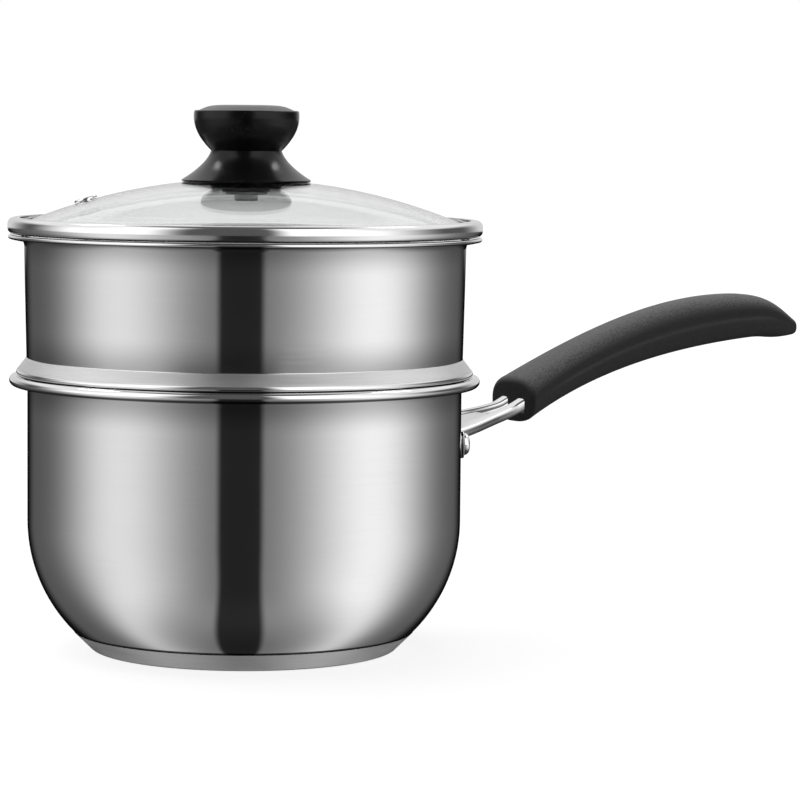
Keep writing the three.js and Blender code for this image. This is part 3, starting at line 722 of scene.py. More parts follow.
pan_floor = CAP_SHEET + CORE_THICKNESS + 2 * SEAT_GAP
pan_flat = (PAN_RADIUS - PAN_FLOOR_FILLET * sin(PAN_CORNER_SPLIT)
            - PAN_CORNER_RADIUS * (1 - sin(PAN_CORNER_SPLIT)))
rim_heading = QUARTER - PAN_FLARE_ANGLE
rim_flare_out = PAN_FLARE_RADIUS * (1 - sin(rim_heading))
rim_curl_out = PAN_CURL_RADIUS * (1 + sin(rim_heading))
rim_land = (PAN_RIM_OVERHANG - rim_flare_out - rim_curl_out) / cos(rim_heading)
land_reach = PAN_RADIUS - PAN_SHEET / 2 + rim_flare_out
land_foot = (PAN_HEIGHT - PAN_SHEET / 2 - rim_land * sin(rim_heading)
             - PAN_CURL_RADIUS * (1 - cos(rim_heading)))


def pan_skin():
    half = PAN_SHEET / 2
    line = MidLine(0, pan_floor + half, 0)
    line.finish(INNER, MIRROR).run(pan_flat)
    line.bend(PAN_CORNER_SPLIT, PAN_FLOOR_FILLET - half)
    line.finish(INNER, WALL).bend(QUARTER - PAN_CORNER_SPLIT, PAN_CORNER_RADIUS - half, WIDE_STEPS)
    line.run(land_foot - PAN_FLARE_RADIUS * cos(rim_heading) - line.place.y)
    line.finish(MIRROR, WALL).bend(-PAN_FLARE_ANGLE, PAN_FLARE_RADIUS)
    line.run(rim_land).bend(-PAN_CURL_ANGLE, PAN_CURL_RADIUS, WIDE_STEPS)
    outline, tags = line.outline(PAN_SHEET)
    return revolve(outline, tags=tags)


def pan_underside(radius):
    beyond = max(0, radius - pan_flat)
    return pan_floor + PAN_FLOOR_FILLET - sqrt(PAN_FLOOR_FILLET ** 2 - beyond ** 2)


def cap_skin():
    foot = pan_flat + CAP_FOOT_STEP
    rim = pan_flat + CAP_RIM_STEP
    inner = rim - CAP_SHEET
    return revolve(rounded([
        (0, 0),
        (foot, 0, CAP_FOOT_ROUND),
        (rim, pan_underside(rim) - SEAT_GAP, CAP_RIM_SOFT),
        (inner, pan_underside(inner) - SEAT_GAP),
        (foot - CAP_SHEET / 2, CAP_SHEET),
        (0, CAP_SHEET),
    ]))


def core_skin():
    low = CAP_SHEET + SEAT_GAP
    radius = pan_flat + CAP_FOOT_STEP - CAP_SHEET - SEAT_GAP
    high = low + CORE_THICKNESS
    outline = rounded([(0, low), (radius, low, EDGE_SOFT), (radius, high, EDGE_SOFT), (0, high)], FEW_STEPS)
    return revolve(outline)


# Handle bracket, rivets and grip. The front side is -Y and the rear side is +Y.

sides_of_handle = (-1, 1)
rivet_height = PAN_HEIGHT - BRACKET_DROP
foot_inner = PAN_RADIUS + SEAT_GAP
foot_outer = foot_inner + FOOT_SHEET
grip_front = PAN_RADIUS + GRIP_STAND_OFF
arm_face_height = rivet_height + GRIP_LIFT
socket_axis = Vector((cos(GRIP_RISE), 0, sin(GRIP_RISE)))
socket_normal = Vector((-sin(GRIP_RISE), 0, cos(GRIP_RISE)))


def wall_frame(angle):
    """Frame on the pan's axis at rivet height: X along the wall, Y up and Z out through the wall."""
    along = Vector((-sin(angle), cos(angle), 0))
    frame_at = Matrix((along, Vector((0, 0, 1)), polar(1, angle))).transposed().to_4x4()
    frame_at.translation = (0, 0, rivet_height)
    return frame_at


def rivet_skin(side):
    wall = (PAN_RADIUS - PAN_SHEET) * cos(FACET_HALF_TURN)
    tail_seat = wall - RIVET_HEAD_RADIUS * tan(FACET_HALF_TURN) - SEAT_GAP
    head_seat = foot_outer + SEAT_GAP
    outline = rounded([
        (0, tail_seat - RIVET_TAIL_HEIGHT),
        (RIVET_HEAD_RADIUS, tail_seat - RIVET_TAIL_HEIGHT, RIVET_TAIL_HEIGHT * HEAD_ROUND_SHARE),
        (RIVET_HEAD_RADIUS, tail_seat), (RIVET_RADIUS, tail_seat),
        (RIVET_RADIUS, head_seat), (RIVET_HEAD_RADIUS, head_seat),
        (RIVET_HEAD_RADIUS, head_seat + RIVET_HEAD_HEIGHT, RIVET_HEAD_HEIGHT * RIVET_DOME_SHARE),
        (0, head_seat + RIVET_HEAD_HEIGHT),
    ])
    return moved(revolve(outline, SMALL_SIDES), wall_frame(side * RIVET_ANGLE))


def foot_skin(side):
    """Plate bent round the wall, with round corners and softened edges."""
    middle = side * (FOOT_START + FOOT_END) / 2
    half_width = foot_outer * tan((FOOT_END - FOOT_START) / 2)
    half_height = FOOT_HEIGHT / 2
    corners = ((-1, -1), (1, -1), (1, 1), (-1, 1))

    def ring(inset, radius):
        outline = rounded([
            (x * (half_width - inset), y * (half_height - inset), FOOT_ROUND - inset) for x, y in corners
        ], EDGE_STEPS)
        return [polar(radius, middle + along / foot_outer, rivet_height + up) for along, up in outline]

    rings = [ring(FOOT_BEVEL, foot_inner)]
    for step in range(SMALL_STEPS + 1):
        turn = QUARTER * step / SMALL_STEPS
        edge = FOOT_BEVEL * (1 - sin(turn))
        rings.append(ring(FOOT_BEVEL * (1 - cos(turn)), foot_outer - edge))
    return loft(rings + [ring(inset, foot_outer) for inset in FOOT_FACE_INSETS])


def arm_stations(side):
    root_radius = (foot_inner + foot_outer) / 2
    out = polar(1, side * ARM_ROOT_ANGLE)
    root = out * root_radius + Vector((0, 0, rivet_height + ARM_ROOT_LIFT))
    face = Vector((grip_front, side * ARM_SPACING / 2, arm_face_height))
    elbow = face - socket_axis * ARM_BEND
    end = face + socket_axis * ARM_REACH
    return out, root, elbow, end, face


def arm_ring(side, place, forward, width, height, groove):
    """Bar section across a forward direction, with soft edges and a groove along its inner side."""
    inward = Vector((forward.y, -forward.x, 0)).normalized() * side
    up = inward.cross(forward) * side
    a = width / 2
    b = height / 2
    full = ARM_FULL_ROUND * b if groove else ARM_CHAMFER
    outline = rounded([
        (a, -b, ARM_CHAMFER), (a, -ARM_GROOVE), (a - groove, 0), (a, ARM_GROOVE), (a, b, ARM_CHAMFER),
        (-a, b, full), (-a, -b, full),
    ], EDGE_STEPS)
    return [place + inward * across + up * lift for across, lift in outline]


def arm_skin(side):
    """Arm from its foot to the grip, swept through a rounded elbow."""
    out, root, elbow, end, _ = arm_stations(side)
    before = elbow.lerp(root, ARM_BEND_SHARES[0])
    after = elbow.lerp(end, ARM_BEND_SHARES[1])
    straight = (elbow - root).normalized()

    def ring(place, forward, width=ARM_WIDTH):
        return arm_ring(side, place, forward, width, ARM_HEIGHT, ARM_GROOVE)

    rings = []
    for step in range(ARM_STEPS):
        share = step / ARM_STEPS
        forward = out.lerp(straight, min(1, share * 2)).normalized()
        width = ARM_ROOT_WIDTH + (ARM_WIDTH - ARM_ROOT_WIDTH) * share
        rings.append(ring(root.lerp(before, share), forward, width))
    for step in range(ARM_STEPS + 1):
        share = step / ARM_STEPS
        forward = straight.lerp(socket_axis, share).normalized()
        rings.append(ring(bezier([before, elbow, after], share), forward))
    return loft(rings + [ring(end, socket_axis)])


def web_skin():
    """Plate between the arms near the wall, its free edges rounded."""
    (_, near_root, near_elbow, _, _), (_, far_root, far_elbow, _, _) = map(arm_stations, sides_of_handle)
    half = WEB_SHEET / 2
    rings = []
    for step in range(ARM_STEPS + 1):
        turn = pi * step / ARM_STEPS
        reach = foot_outer + WEB_START + half * (1 - cos(turn))
        if step > ARM_STEPS / 2:
            reach += WEB_LENGTH - 2 * half
        share = (reach - near_root.x) / (near_elbow.x - near_root.x)
        near = near_root.lerp(near_elbow, share)
        far = far_root.lerp(far_elbow, share)
        up = Vector((0, 0, half * max(WEB_EDGE_SHARE, sin(turn))))
        rings.append([near - up, far - up, far + up, near + up])
    return loft(rings)


def grip_edges():
    """Upper and lower edges of the grip in the (reach, height) plane, each as a main run and a tail."""
    middle = arm_face_height + GRIP_ARM_OFFSET
    front_top = (grip_front, middle + GRIP_FRONT_HEIGHT / 2)
    front_foot = (grip_front, middle - GRIP_FRONT_HEIGHT / 2)
    peak = (grip_front + GRIP_PEAK_RUN, front_top[1] + GRIP_PEAK_RISE)
    belly = (peak[0] + GRIP_BELLY_LAG, front_foot[1] + GRIP_BELLY_RISE)
    tip = (peak[0] + GRIP_TAIL_RUN, peak[1] - GRIP_TAIL_DROP)
    chin = (tip[0], tip[1] - GRIP_BEAK_HEIGHT)
    far = GRIP_PEAK_RUN * GRIP_CURVE_SHARE
    near = GRIP_TAIL_RUN * GRIP_TAIL_SHARE

    def pulled(point, pull, angle):
        return (point[0] + pull * cos(angle), point[1] + pull * sin(angle))

    def edge(start, rise, crest, slope, end, fall):
        return (
            curve(start, pulled(start, far, rise), pulled(crest, -far, slope), crest, GRIP_STEPS),
            curve(crest, pulled(crest, near, slope), pulled(end, -near, fall), end, TAIL_STEPS),
        )

    upper = edge(front_top, GRIP_RISE, peak, 0, tip, -GRIP_BEAK_SLOPE)
    return upper, edge(front_foot, GRIP_FOOT_RISE, belly, GRIP_BELLY_SLOPE, chin, GRIP_CHIN_SLOPE)


def grip_ring(upper, lower, half_width, line=0):
    """Squared-off oval between two edge points, with a shallow moulded line along its sides."""
    top = Vector((upper.x, 0, upper.y))
    centre = (top + Vector((lower.x, 0, lower.y))) / 2
    rise = top - centre

    def squared(value):
        return copysign(abs(value) ** (2 / GRIP_SQUARENESS), value)

    made = []
    for angle in turns(GRIP_SIDES):
        lift = squared(sin(angle))
        sink = line * GRIP_LINE_DEPTH * exp(-((lift - GRIP_LINE_LIFT) / GRIP_LINE_SPREAD) ** 2)
        made.append(centre + rise * lift + Vector((0, (half_width - sink) * squared(cos(angle)), 0)))
    return made


def grip_skin():
    upper, lower = grip_edges()
    pull = 2 * GRIP_WAIST_WIDTH - (GRIP_FRONT_WIDTH + GRIP_TAIL_WIDTH) / 2

    def half_width(share):
        rest = 1 - share
        return (GRIP_FRONT_WIDTH * rest ** 2 + 2 * pull * share * rest + GRIP_TAIL_WIDTH * share ** 2) / 2

    def along(slope):
        return Vector((GRIP_FRONT_ROUND, GRIP_FRONT_ROUND * tan(slope)))

    inset = Vector((0, GRIP_FRONT_ROUND))
    rings = []
    for step in range(EDGE_STEPS + 1):
        turn = QUARTER * step / EDGE_STEPS
        forward = 1 - cos(turn)
        inside = 1 - sin(turn)
        rings.append(grip_ring(
            upper[0][0] + along(GRIP_RISE) * forward - inset * inside,
            lower[0][0] + along(GRIP_FOOT_RISE) * forward + inset * inside,
            half_width(0) - GRIP_FRONT_ROUND * inside,
        ))
    for step in range(1, GRIP_STEPS + 1):
        if upper[0][step].x > grip_front + GRIP_FRONT_ROUND * GRIP_FRONT_CLEAR:
            line = min(1, GRIP_LINE_START * step / GRIP_STEPS)
            rings.append(grip_ring(upper[0][step], lower[0][step], half_width(step / GRIP_STEPS), line))
    for step in range(1, TAIL_STEPS + 1):
        narrowing = sqrt(1 - (GRIP_TAIL_TAPER * step / TAIL_STEPS) ** 2)
        line = 1 - step / TAIL_STEPS
        rings.append(grip_ring(upper[1][step], lower[1][step], narrowing * GRIP_TAIL_WIDTH / 2, line))
    beak = rings[-1]
    middle = middle_of(beak)
    beak_fall = tan(GRIP_BEAK_SLOPE)
    chin_climb = tan(GRIP_CHIN_SLOPE)
    closing = (beak_fall + chin_climb) * GRIP_NOSE / GRIP_BEAK_HEIGHT
    for step in range(1, BEND_STEPS + 1):
        turn = GRIP_NOSE_TURN * step / BEND_STEPS
        out = GRIP_NOSE * sin(turn)
        place = middle + Vector((out, 0, out * (chin_climb - beak_fall) / 2))
        share = cos(turn) * (1 - closing * sin(turn))
        rings.append([place + (point - middle) * share for point in beak])
    return loft(rings)


def grip_screw_frame(side):
    face = arm_stations(side)[4]
    return frame_along(face + socket_axis * GRIP_SCREW_REACH, socket_normal)


screw_seat = -(ARM_HEIGHT / 2 + SOCKET_GAP + GRIP_SCREW_LEDGE)


def grip_cutters(side):
    _, _, _, end, face = arm_stations(side)
    width = ARM_WIDTH + 2 * SOCKET_GAP
    height = ARM_HEIGHT + 2 * SOCKET_GAP
    mouth = face - socket_axis * ARM_BEND
    bottom = end + socket_axis * SOCKET_GAP
    socket = loft([arm_ring(side, place, socket_axis, width, height, 0) for place in (mouth, bottom)])
    hole = pin(GRIP_SCREW_RADIUS + HOLE_GAP, -GRIP_FRONT_HEIGHT, GRIP_SCREW_LENGTH + HOLE_GAP)
    bore = pin(GRIP_SCREW_HEAD_RADIUS + HOLE_GAP, -GRIP_FRONT_HEIGHT, screw_seat)
    at_screw = grip_screw_frame(side)
    return [socket, moved(hole, at_screw), moved(bore, at_screw)]


def grip_screw_skin(side):
    head = (GRIP_SCREW_HEAD_RADIUS, GRIP_SCREW_HEAD_HEIGHT, GRIP_SCREW_HEAD_HEIGHT / 2)
    tip = [(GRIP_SCREW_RADIUS, GRIP_SCREW_LENGTH), (0, GRIP_SCREW_LENGTH)]
    return moved(screw_skin(head, screw_seat - SEAT_GAP, tip, sides=48), grip_screw_frame(side))


def cross_cutters(side):
    """Two crossing slots in a screw's head."""
    head_bottom = screw_seat - SEAT_GAP - GRIP_SCREW_HEAD_HEIGHT
    levels = ((head_bottom - SLOT_CLEAR, 1), (head_bottom + SLOT_DEPTH, SLOT_TAPER))
    made = []
    for x, y in ((SLOT_LENGTH, SLOT_WIDTH), (SLOT_WIDTH, SLOT_LENGTH)):
        slot = loft([box_ring(x * shrink, y, height) for height, shrink in levels])
        made.append(moved(slot, grip_screw_frame(side)))
    return made


# Steamer insert

roll_outside = SHOULDER_ROLL + STEAMER_SHEET / 2
roll_centre = PAN_RADIUS + SHOULDER_REACH - roll_outside
roll_clear = roll_outside + SEAT_GAP + PAN_SHEET / 2
steamer_seat = (land_foot - roll_outside
                + (roll_clear + (roll_centre - land_reach) * sin(rim_heading)) / cos(rim_heading))


def steamer_line():
    half = STEAMER_SHEET / 2
    skirt = PAN_RADIUS - PAN_SHEET - SKIRT_GAP - half
    shoulder = PAN_RADIUS + SHOULDER_REACH - half
    wall = PAN_RADIUS + STEAMER_WALL_STEP - half
    heading = QUARTER - STEAMER_TAPER
    roll_end = shoulder - SHOULDER_ROLL * (1 - sin(SHOULDER_CONE))
    blend_in = SHOULDER_BLEND * (sin(heading) - sin(SHOULDER_CONE))
    cone_run = (roll_end - blend_in - wall) / -cos(SHOULDER_CONE)
    line = MidLine(skirt - STEAMER_FLOOR_FILLET, steamer_seat - STEAMER_SKIRT_DEPTH + half, 0)
    line.finish(INNER, MIRROR).bend(QUARTER, STEAMER_FLOOR_FILLET)
    line.run(steamer_seat + half - SHOULDER_SEAT_BEND - line.place.y)
    line.bend(-QUARTER, SHOULDER_SEAT_BEND)
    line.run(roll_centre - line.place.x)
    line.bend(SHOULDER_CONE, SHOULDER_ROLL)
    line.finish(INNER, SATIN).run(cone_run, FEW_STEPS)
    line.finish(INNER, MIRROR).bend(heading - SHOULDER_CONE, SHOULDER_BLEND)
    line.finish(INNER, WALL).run(STEAMER_WALL_TOP / cos(STEAMER_TAPER))
    flare_out = LIP_FLARE * (sin(heading) - sin(LIP_RISE))
    hem_out = LIP_HEM * (1 + sin(LIP_RISE))
    line.finish(MIRROR, WALL).bend(LIP_RISE - heading, LIP_FLARE)
    line.run((LIP_OVERHANG - flare_out - hem_out) / cos(LIP_RISE))
    return line.bend(-pi, LIP_HEM).run(LIP_HEM_RETURN)


steamer = steamer_line()
lip_top = max(place.y for place, _, _ in steamer.stations) + STEAMER_SHEET / 2
lip_radius = max(place.x for place, _, _ in steamer.stations) + STEAMER_SHEET / 2


def circle(x, y, radius, count):
    return [Vector((x + radius * cos(turn), y + radius * sin(turn))) for turn in turns(count)]


def steam_holes():
    places = [(0, 0)]
    for ring in range(1, STEAM_HOLE_RINGS + 1):
        reach = ring * STEAM_HOLE_PITCH
        for turn in turns(ring * STEAM_HOLES_PER_RING):
            places.append((reach * cos(turn), reach * sin(turn)))
    return [circle(x, y, STEAM_HOLE_RADIUS, HOLE_SIDES) for x, y in places]


def floor_skin(radius, low, high):
    """Flat perforated floor: both faces, and the wall of each hole with a soft edge."""
    soft = STEAM_HOLE_SOFT
    holes = steam_holes()
    centres = [middle_of(hole) for hole in holes]
    wide = [circle(*centre, STEAM_HOLE_RADIUS + soft, HOLE_SIDES) for centre in centres]
    flat_points = circle(0, 0, radius, SHELL_SIDES)
    loops = [list(range(SHELL_SIDES))]
    for hole in wide:
        start = len(flat_points)
        loops.append(list(range(start, start + HOLE_SIDES))[::-1])
        flat_points.extend(hole)
    spots, _, flat_faces, _, _, _ = delaunay_2d_cdt(flat_points, [], loops, 2, FLAT_WELD)

    def over_hole(face):
        middle = middle_of([spots[corner] for corner in face])
        return any((middle - centre).length < STEAM_HOLE_RADIUS for centre in centres)

    def raised(loop, height):
        return [spot.to_3d() + Vector((0, 0, height)) for spot in loop]

    solid = [face for face in flat_faces if not over_hole(face)]
    faced = ((high, INNER), (low, MIRROR))
    skins = [(raised(spots, height), solid, [finish] * len(solid)) for height, finish in faced]
    for hole, outer in zip(holes, wide):
        levels = ((outer, high), (hole, high - soft), (hole, low + soft), (outer, low))
        faces = strip(len(levels), HOLE_SIDES)
        points = [spot for loop, height in levels for spot in raised(loop, height)]
        skins.append((points, faces, [INNER] * len(faces)))
    return joined(*skins)


def steamer_skin():
    outline, tags = steamer.outline(STEAMER_SHEET)
    wall = revolve(outline, tags=tags, closed=False)
    half = STEAMER_SHEET / 2
    start = steamer.stations[0][0]
    return joined(wall, floor_skin(start.x, start.y - half, start.y + half))


# Lid

band_radius = lip_radius + BAND_OVERLAP
band_foot = lip_top + SEAT_GAP
seal_foot = band_foot + BAND_SHEET + PRESS_GAP
seal_radius = band_radius - BAND_SHEET - PRESS_GAP
glass_foot = seal_foot + SEAL_SHEET + PRESS_GAP
glass_radius = seal_radius - SEAL_SHEET - PRESS_GAP
seal_top = glass_foot + GLASS_THICKNESS + PRESS_GAP + SEAL_SHEET
band_top = seal_top + PRESS_GAP + BAND_SHEET


def channel(outer, flange, sheet, low, high, low_round, high_round, hem=0):
    """C-section that opens towards the axis, the edge of its upper flange turned down by the hem."""
    lip = outer - flange
    inner = outer - sheet
    edge = sheet * CHANNEL_EDGE_SHARE
    turned_down = [(lip, high - sheet - hem, edge)]
    if hem:
        turned_down += [(lip + sheet, high - sheet - hem, edge), (lip + sheet, high - sheet)]
    return revolve(rounded([
        (lip, low, edge), (outer, low, low_round), (outer, high, high_round), (lip, high, edge), *turned_down,
        (inner, high - sheet, high_round - sheet), (inner, low + sheet, low_round - sheet),
        (lip, low + sheet, edge),
    ], EDGE_STEPS))


def band_skin():
    hem = band_top - BAND_SHEET - glass_foot - GLASS_THICKNESS - HAIRLINE
    rounds = (BAND_FOOT_ROUND, BAND_TOP_ROUND)
    return channel(band_radius, BAND_FLANGE, BAND_SHEET, band_foot, band_top, *rounds, hem)


def seal_skin():
    rounds = (BAND_FOOT_ROUND - BAND_SHEET, BAND_TOP_ROUND - BAND_SHEET)
    return channel(seal_radius, SEAL_FLANGE, SEAL_SHEET, seal_foot, seal_top, *rounds)


knob_hole = KNOB_SCREW_RADIUS + 2 * HOLE_GAP
dome_middle = DOME_RADIUS - GLASS_THICKNESS / 2
dome_foot = band_radius - BAND_FLANGE - GLASS_RIM_MARGIN
dome_angle = asin(dome_foot / (dome_middle + GLASS_RIM_FILLET))
dome_top = glass_foot + GLASS_THICKNESS + (dome_middle + GLASS_RIM_FILLET) * (1 - cos(dome_angle))
dome_under = dome_top - GLASS_THICKNESS


def dome_height(radius):
    return dome_top - DOME_RADIUS + sqrt(DOME_RADIUS ** 2 - radius ** 2)


def glass_skin():
    line = MidLine(glass_radius, glass_foot + GLASS_THICKNESS / 2, pi)
    line.run(glass_radius - dome_foot).bend(-dome_angle, GLASS_RIM_FILLET)
    line.bend(dome_angle - asin(knob_hole / dome_middle), dome_middle, steps=40)
    outline, _ = line.outline(GLASS_THICKNESS)
    corners = [tuple(point) for point in outline]
    corners[0] = (*corners[0], GLASS_EDGE_ROUND)
    corners[-1] = (*corners[-1], GLASS_EDGE_ROUND)
    return revolve(rounded(corners))


def vent_frame():
    place = polar(VENT_REACH, VENT_ANGLE, dome_height(VENT_REACH))
    centre = Vector((0, 0, dome_top - DOME_RADIUS))
    return frame_along(place, (place - centre).normalized())


def vent_skin():
    sag = VENT_FLANGE_RADIUS * tan(FACET_HALF_TURN)
    high = SEAT_GAP
    low = -GLASS_THICKNESS - high - sag
    soft = VENT_FLANGE_HEIGHT * HEAD_ROUND_SHARE
    return moved(revolve(rounded([
        (VENT_BORE_RADIUS, low - VENT_FLANGE_HEIGHT),
        (VENT_FLANGE_RADIUS, low - VENT_FLANGE_HEIGHT, soft / 2),
        (VENT_FLANGE_RADIUS, low), (VENT_TUBE_RADIUS, low),
        (VENT_TUBE_RADIUS, high), (VENT_FLANGE_RADIUS, high),
        (VENT_FLANGE_RADIUS, high + VENT_FLANGE_HEIGHT, soft),
        (VENT_BORE_RADIUS, high + VENT_FLANGE_HEIGHT, soft / 2),
    ]), SMALL_SIDES), vent_frame())


# Knob, from the glass upwards

gasket_foot = dome_top + SEAT_GAP
boss_foot = gasket_foot + KNOB_GASKET_THICKNESS + SEAT_GAP
skirt_foot = dome_height(KNOB_FLANGE_RADIUS) + HOLE_GAP
flange_top = dome_top + KNOB_FLANGE_HEIGHT
cup_foot = flange_top + SEAT_GAP
cup_top = cup_foot + KNOB_CUP_HEIGHT
cap_floor = cup_top - KNOB_CAP_THICKNESS - PRESS_GAP
cap_recess = KNOB_CUP_RADIUS - KNOB_CAP_INSET
insert_foot = cup_foot + PRESS_GAP


def flange_skin():
    edge = KNOB_FLANGE_RADIUS - KNOB_FLANGE_EDGE
    brink = skirt_foot + KNOB_FLANGE_EDGE
    rise = flange_top - brink
    side = curve(
        (KNOB_FLANGE_RADIUS, brink),
        (KNOB_FLANGE_RADIUS * KNOB_FLANGE_FOOT_PULL[0], brink + rise * KNOB_FLANGE_FOOT_PULL[1]),
        (KNOB_WAIST_RADIUS * KNOB_FLANGE_WAIST_PULL[0], brink + rise * KNOB_FLANGE_WAIST_PULL[1]),
        (KNOB_WAIST_RADIUS, flange_top),
        steps=32,
    )
    inside = rounded([
        (knob_hole, flange_top),
        (knob_hole, boss_foot),
        (KNOB_BOSS_RADIUS, boss_foot, EDGE_SOFT),
        (KNOB_BOSS_RADIUS, flange_top - KNOB_FLANGE_SHELL, KNOB_SHELL_ROUND),
        (edge, skirt_foot, RING_SOFT),
        (KNOB_FLANGE_RADIUS, skirt_foot, KNOB_RIM_SOFT),
    ], steps=5)
    return revolve(inside + side, KNOB_SIDES)


def cup_skin():
    pocket = KNOB_INSERT_RADIUS + PRESS_GAP
    pocket_top = cup_foot + KNOB_INSERT_LENGTH + PRESS_GAP
    pocket_wall = [(0, pocket_top), (pocket, pocket_top), (pocket, cup_foot)]
    underside = rounded(pocket_wall + [(KNOB_BOSS_RADIUS, cup_foot)])
    widest = cup_top - KNOB_CUP_ROUND
    bowl = curve(
        (KNOB_WAIST_RADIUS, flange_top + HAIRLINE),
        ((KNOB_WAIST_RADIUS + KNOB_CUP_RADIUS) / 2, cup_foot + KNOB_CUP_HEIGHT * KNOB_BOWL_PULL),
        (KNOB_CUP_RADIUS, cup_foot + KNOB_CUP_HEIGHT / 2),
        (KNOB_CUP_RADIUS, widest),
        steps=36,
    )
    corner = (KNOB_CUP_RADIUS, cup_top)
    brim = curve((KNOB_CUP_RADIUS, widest), corner, corner, (cap_recess, cup_top), BEND_STEPS)
    recess = rounded([(cap_recess, cap_floor), (0, cap_floor)])
    return revolve(underside + bowl + brim[1:] + recess, KNOB_SIDES)


def cap_disc_skin():
    low = cap_floor + PRESS_GAP
    radius = cap_recess - PRESS_GAP
    crown = low + KNOB_CAP_THICKNESS + KNOB_CAP_CROWN
    pull = (KNOB_CAP_FLAT * radius, crown)
    face = curve((radius, low + KNOB_CAP_THICKNESS), pull, pull, (0, crown), WIDE_STEPS)
    return revolve(rounded([(0, low), (radius, low)]) + face, KNOB_SIDES)


def insert_skin():
    bore = KNOB_SCREW_RADIUS + HOLE_GAP
    bore_top = insert_foot + KNOB_SCREW_GRIP + HOLE_GAP
    high = cup_foot + KNOB_INSERT_LENGTH
    return revolve(rounded([
        (0, bore_top), (bore, bore_top), (bore, insert_foot), (KNOB_INSERT_RADIUS, insert_foot, EDGE_SOFT),
        (KNOB_INSERT_RADIUS, high, EDGE_SOFT), (0, high),
    ], FEW_STEPS), SMALL_SIDES)


dome_inside = DOME_RADIUS - GLASS_THICKNESS
under_gasket_top = dome_under - dome_inside + sqrt(dome_inside ** 2 - KNOB_GASKET_RADIUS ** 2) - SEAT_GAP
washer_top = under_gasket_top - KNOB_GASKET_THICKNESS - SEAT_GAP
screw_head_top = washer_top - KNOB_WASHER_THICKNESS - SEAT_GAP


def ring_skin(outer, high, thickness):
    """Flat ring round the knob's screw."""
    low = high - thickness
    places = ((knob_hole, low), (outer, low), (outer, high), (knob_hole, high))
    return revolve(rounded([(*place, RING_SOFT) for place in places], FEW_STEPS), KNOB_SIDES)


def knob_screw_skin():
    head = (KNOB_SCREW_HEAD_RADIUS, KNOB_SCREW_HEAD_HEIGHT, KNOB_SCREW_HEAD_ROUND)
    end = insert_foot + KNOB_SCREW_GRIP
    tip = [(KNOB_SCREW_RADIUS, end, KNOB_SCREW_TIP_ROUND), (0, end)]
    return screw_skin(head, screw_head_top, tip, SMALL_SIDES)


# Pieces

pan_shell = piece("pan_shell", pan_skin(), ["inner_steel", "pan_wall"])
rivet_hole = pin(RIVET_RADIUS + HOLE_GAP, PAN_RADIUS / 2, foot_outer + FOOT_SHEET)
cut(pan_shell, [moved(rivet_hole, wall_frame(side * RIVET_ANGLE)) for side in sides_of_handle])
piece("base_core", core_skin())
piece("base_cap", cap_skin(), finish="cap_steel")
bracket_skins = (*map(arm_skin, sides_of_handle), *map(foot_skin, sides_of_handle), web_skin())
bracket = piece("handle_bracket", joined(*bracket_skins), crease=50, finish="arm_steel")
bracket.visible_glossy = False
grip = piece("handle_grip", grip_skin(), crease=60)
grip.visible_glossy = False
for grip_side in sides_of_handle:
    cut(grip, grip_cutters(grip_side))
for name, rivet_side in (("front", -1), ("rear", 1)):
    piece("rivet_" + name, rivet_skin(rivet_side))
    screw = piece("handle_screw_" + name, grip_screw_skin(rivet_side))
    cut(screw, cross_cutters(rivet_side))
    screw.visible_glossy = False

piece("steamer_shell", steamer_skin(), ["inner_steel", "steamer_wall", "satin_steel"])

lid_glass = piece("lid_glass", glass_skin())
vent_hole = pin(VENT_TUBE_RADIUS + HOLE_GAP, -2 * GLASS_THICKNESS, GLASS_THICKNESS)
cut(lid_glass, [moved(vent_hole, vent_frame())])
lid_glass.visible_shadow = False
piece("lid_band", band_skin(), finish="band_steel")
piece("lid_seal", seal_skin())
piece("vent_eyelet", vent_skin())
for name, gasket_top in (("top", gasket_foot + KNOB_GASKET_THICKNESS), ("under", under_gasket_top)):
    piece("knob_gasket_" + name, ring_skin(KNOB_GASKET_RADIUS, gasket_top, KNOB_GASKET_THICKNESS))
piece("knob_flange", flange_skin())
piece("knob_cup", cup_skin())
piece("knob_cap", cap_disc_skin())
piece("knob_insert", insert_skin())
piece("knob_washer", ring_skin(KNOB_WASHER_RADIUS, washer_top, KNOB_WASHER_THICKNESS))
piece("knob_screw", knob_screw_skin())


# Studio: floor, light bowl, lamp, world and camera. Lengths in metres.

FLOOR_REACH = 30
FLOOR_TONE = 0.3
FLOOR_GLOW = 0.8
WORLD_FILL = 0.5
CAMERA_DISTANCE = 1.2
CAMERA_HEIGHT = 0.196
AIM_RIGHT = 0.0577
AIM_HEIGHT = 0.0928

# Light bowl, in degrees of azimuth from the camera and of elevation. The low boxes have a centre, a width
# and a strength. Groups of four are ramps: where they start and end, and the value at either end.
BOWL_PULL = 0.6
BOWL_PULL_POWER = 3.5
LOW_BOXES = ((-68, 36, 0.74), (70, 38.5, 0.93))
LOW_LEVEL = 0.13
LOW_GROUND = (-72, -34, 0.6, 0)
LOW_GROUND_LEVEL = 0.34
LOW_SIDES = (78, 128, 1, 0.74)
LOW_FOOT = (-95, -50, 0.5, 1)
BACK_EDGE = (-72, -30, 160, 144)
BACK_BLUR = 20
BACK_LEVEL = 0.05
STRIP_AZIMUTH = -2.3
STRIP_REACH = 11.4
STRIP_EDGE = (-2.2, 2.2, 0.1, 1)
POLE_BLUR = (0.03, 0.22, 1, 0)
POLE_LEVEL = 0.22
HIGH_BOXES = (
    ((10, 24, 0, 1.3), (55, 112, 1, 0)),
    ((-26, -52, 0, 1.25), (-84, -126, 1, 0)),
)
HIGH_LEVEL = 0.1
HIGH_BACK = (126, 158, 0, 0.6)
FLANKS = ((-58, -96, 0, 1), (45, 80, 0, 1))
FLANK_RISE = (14, 30, 0, 1)
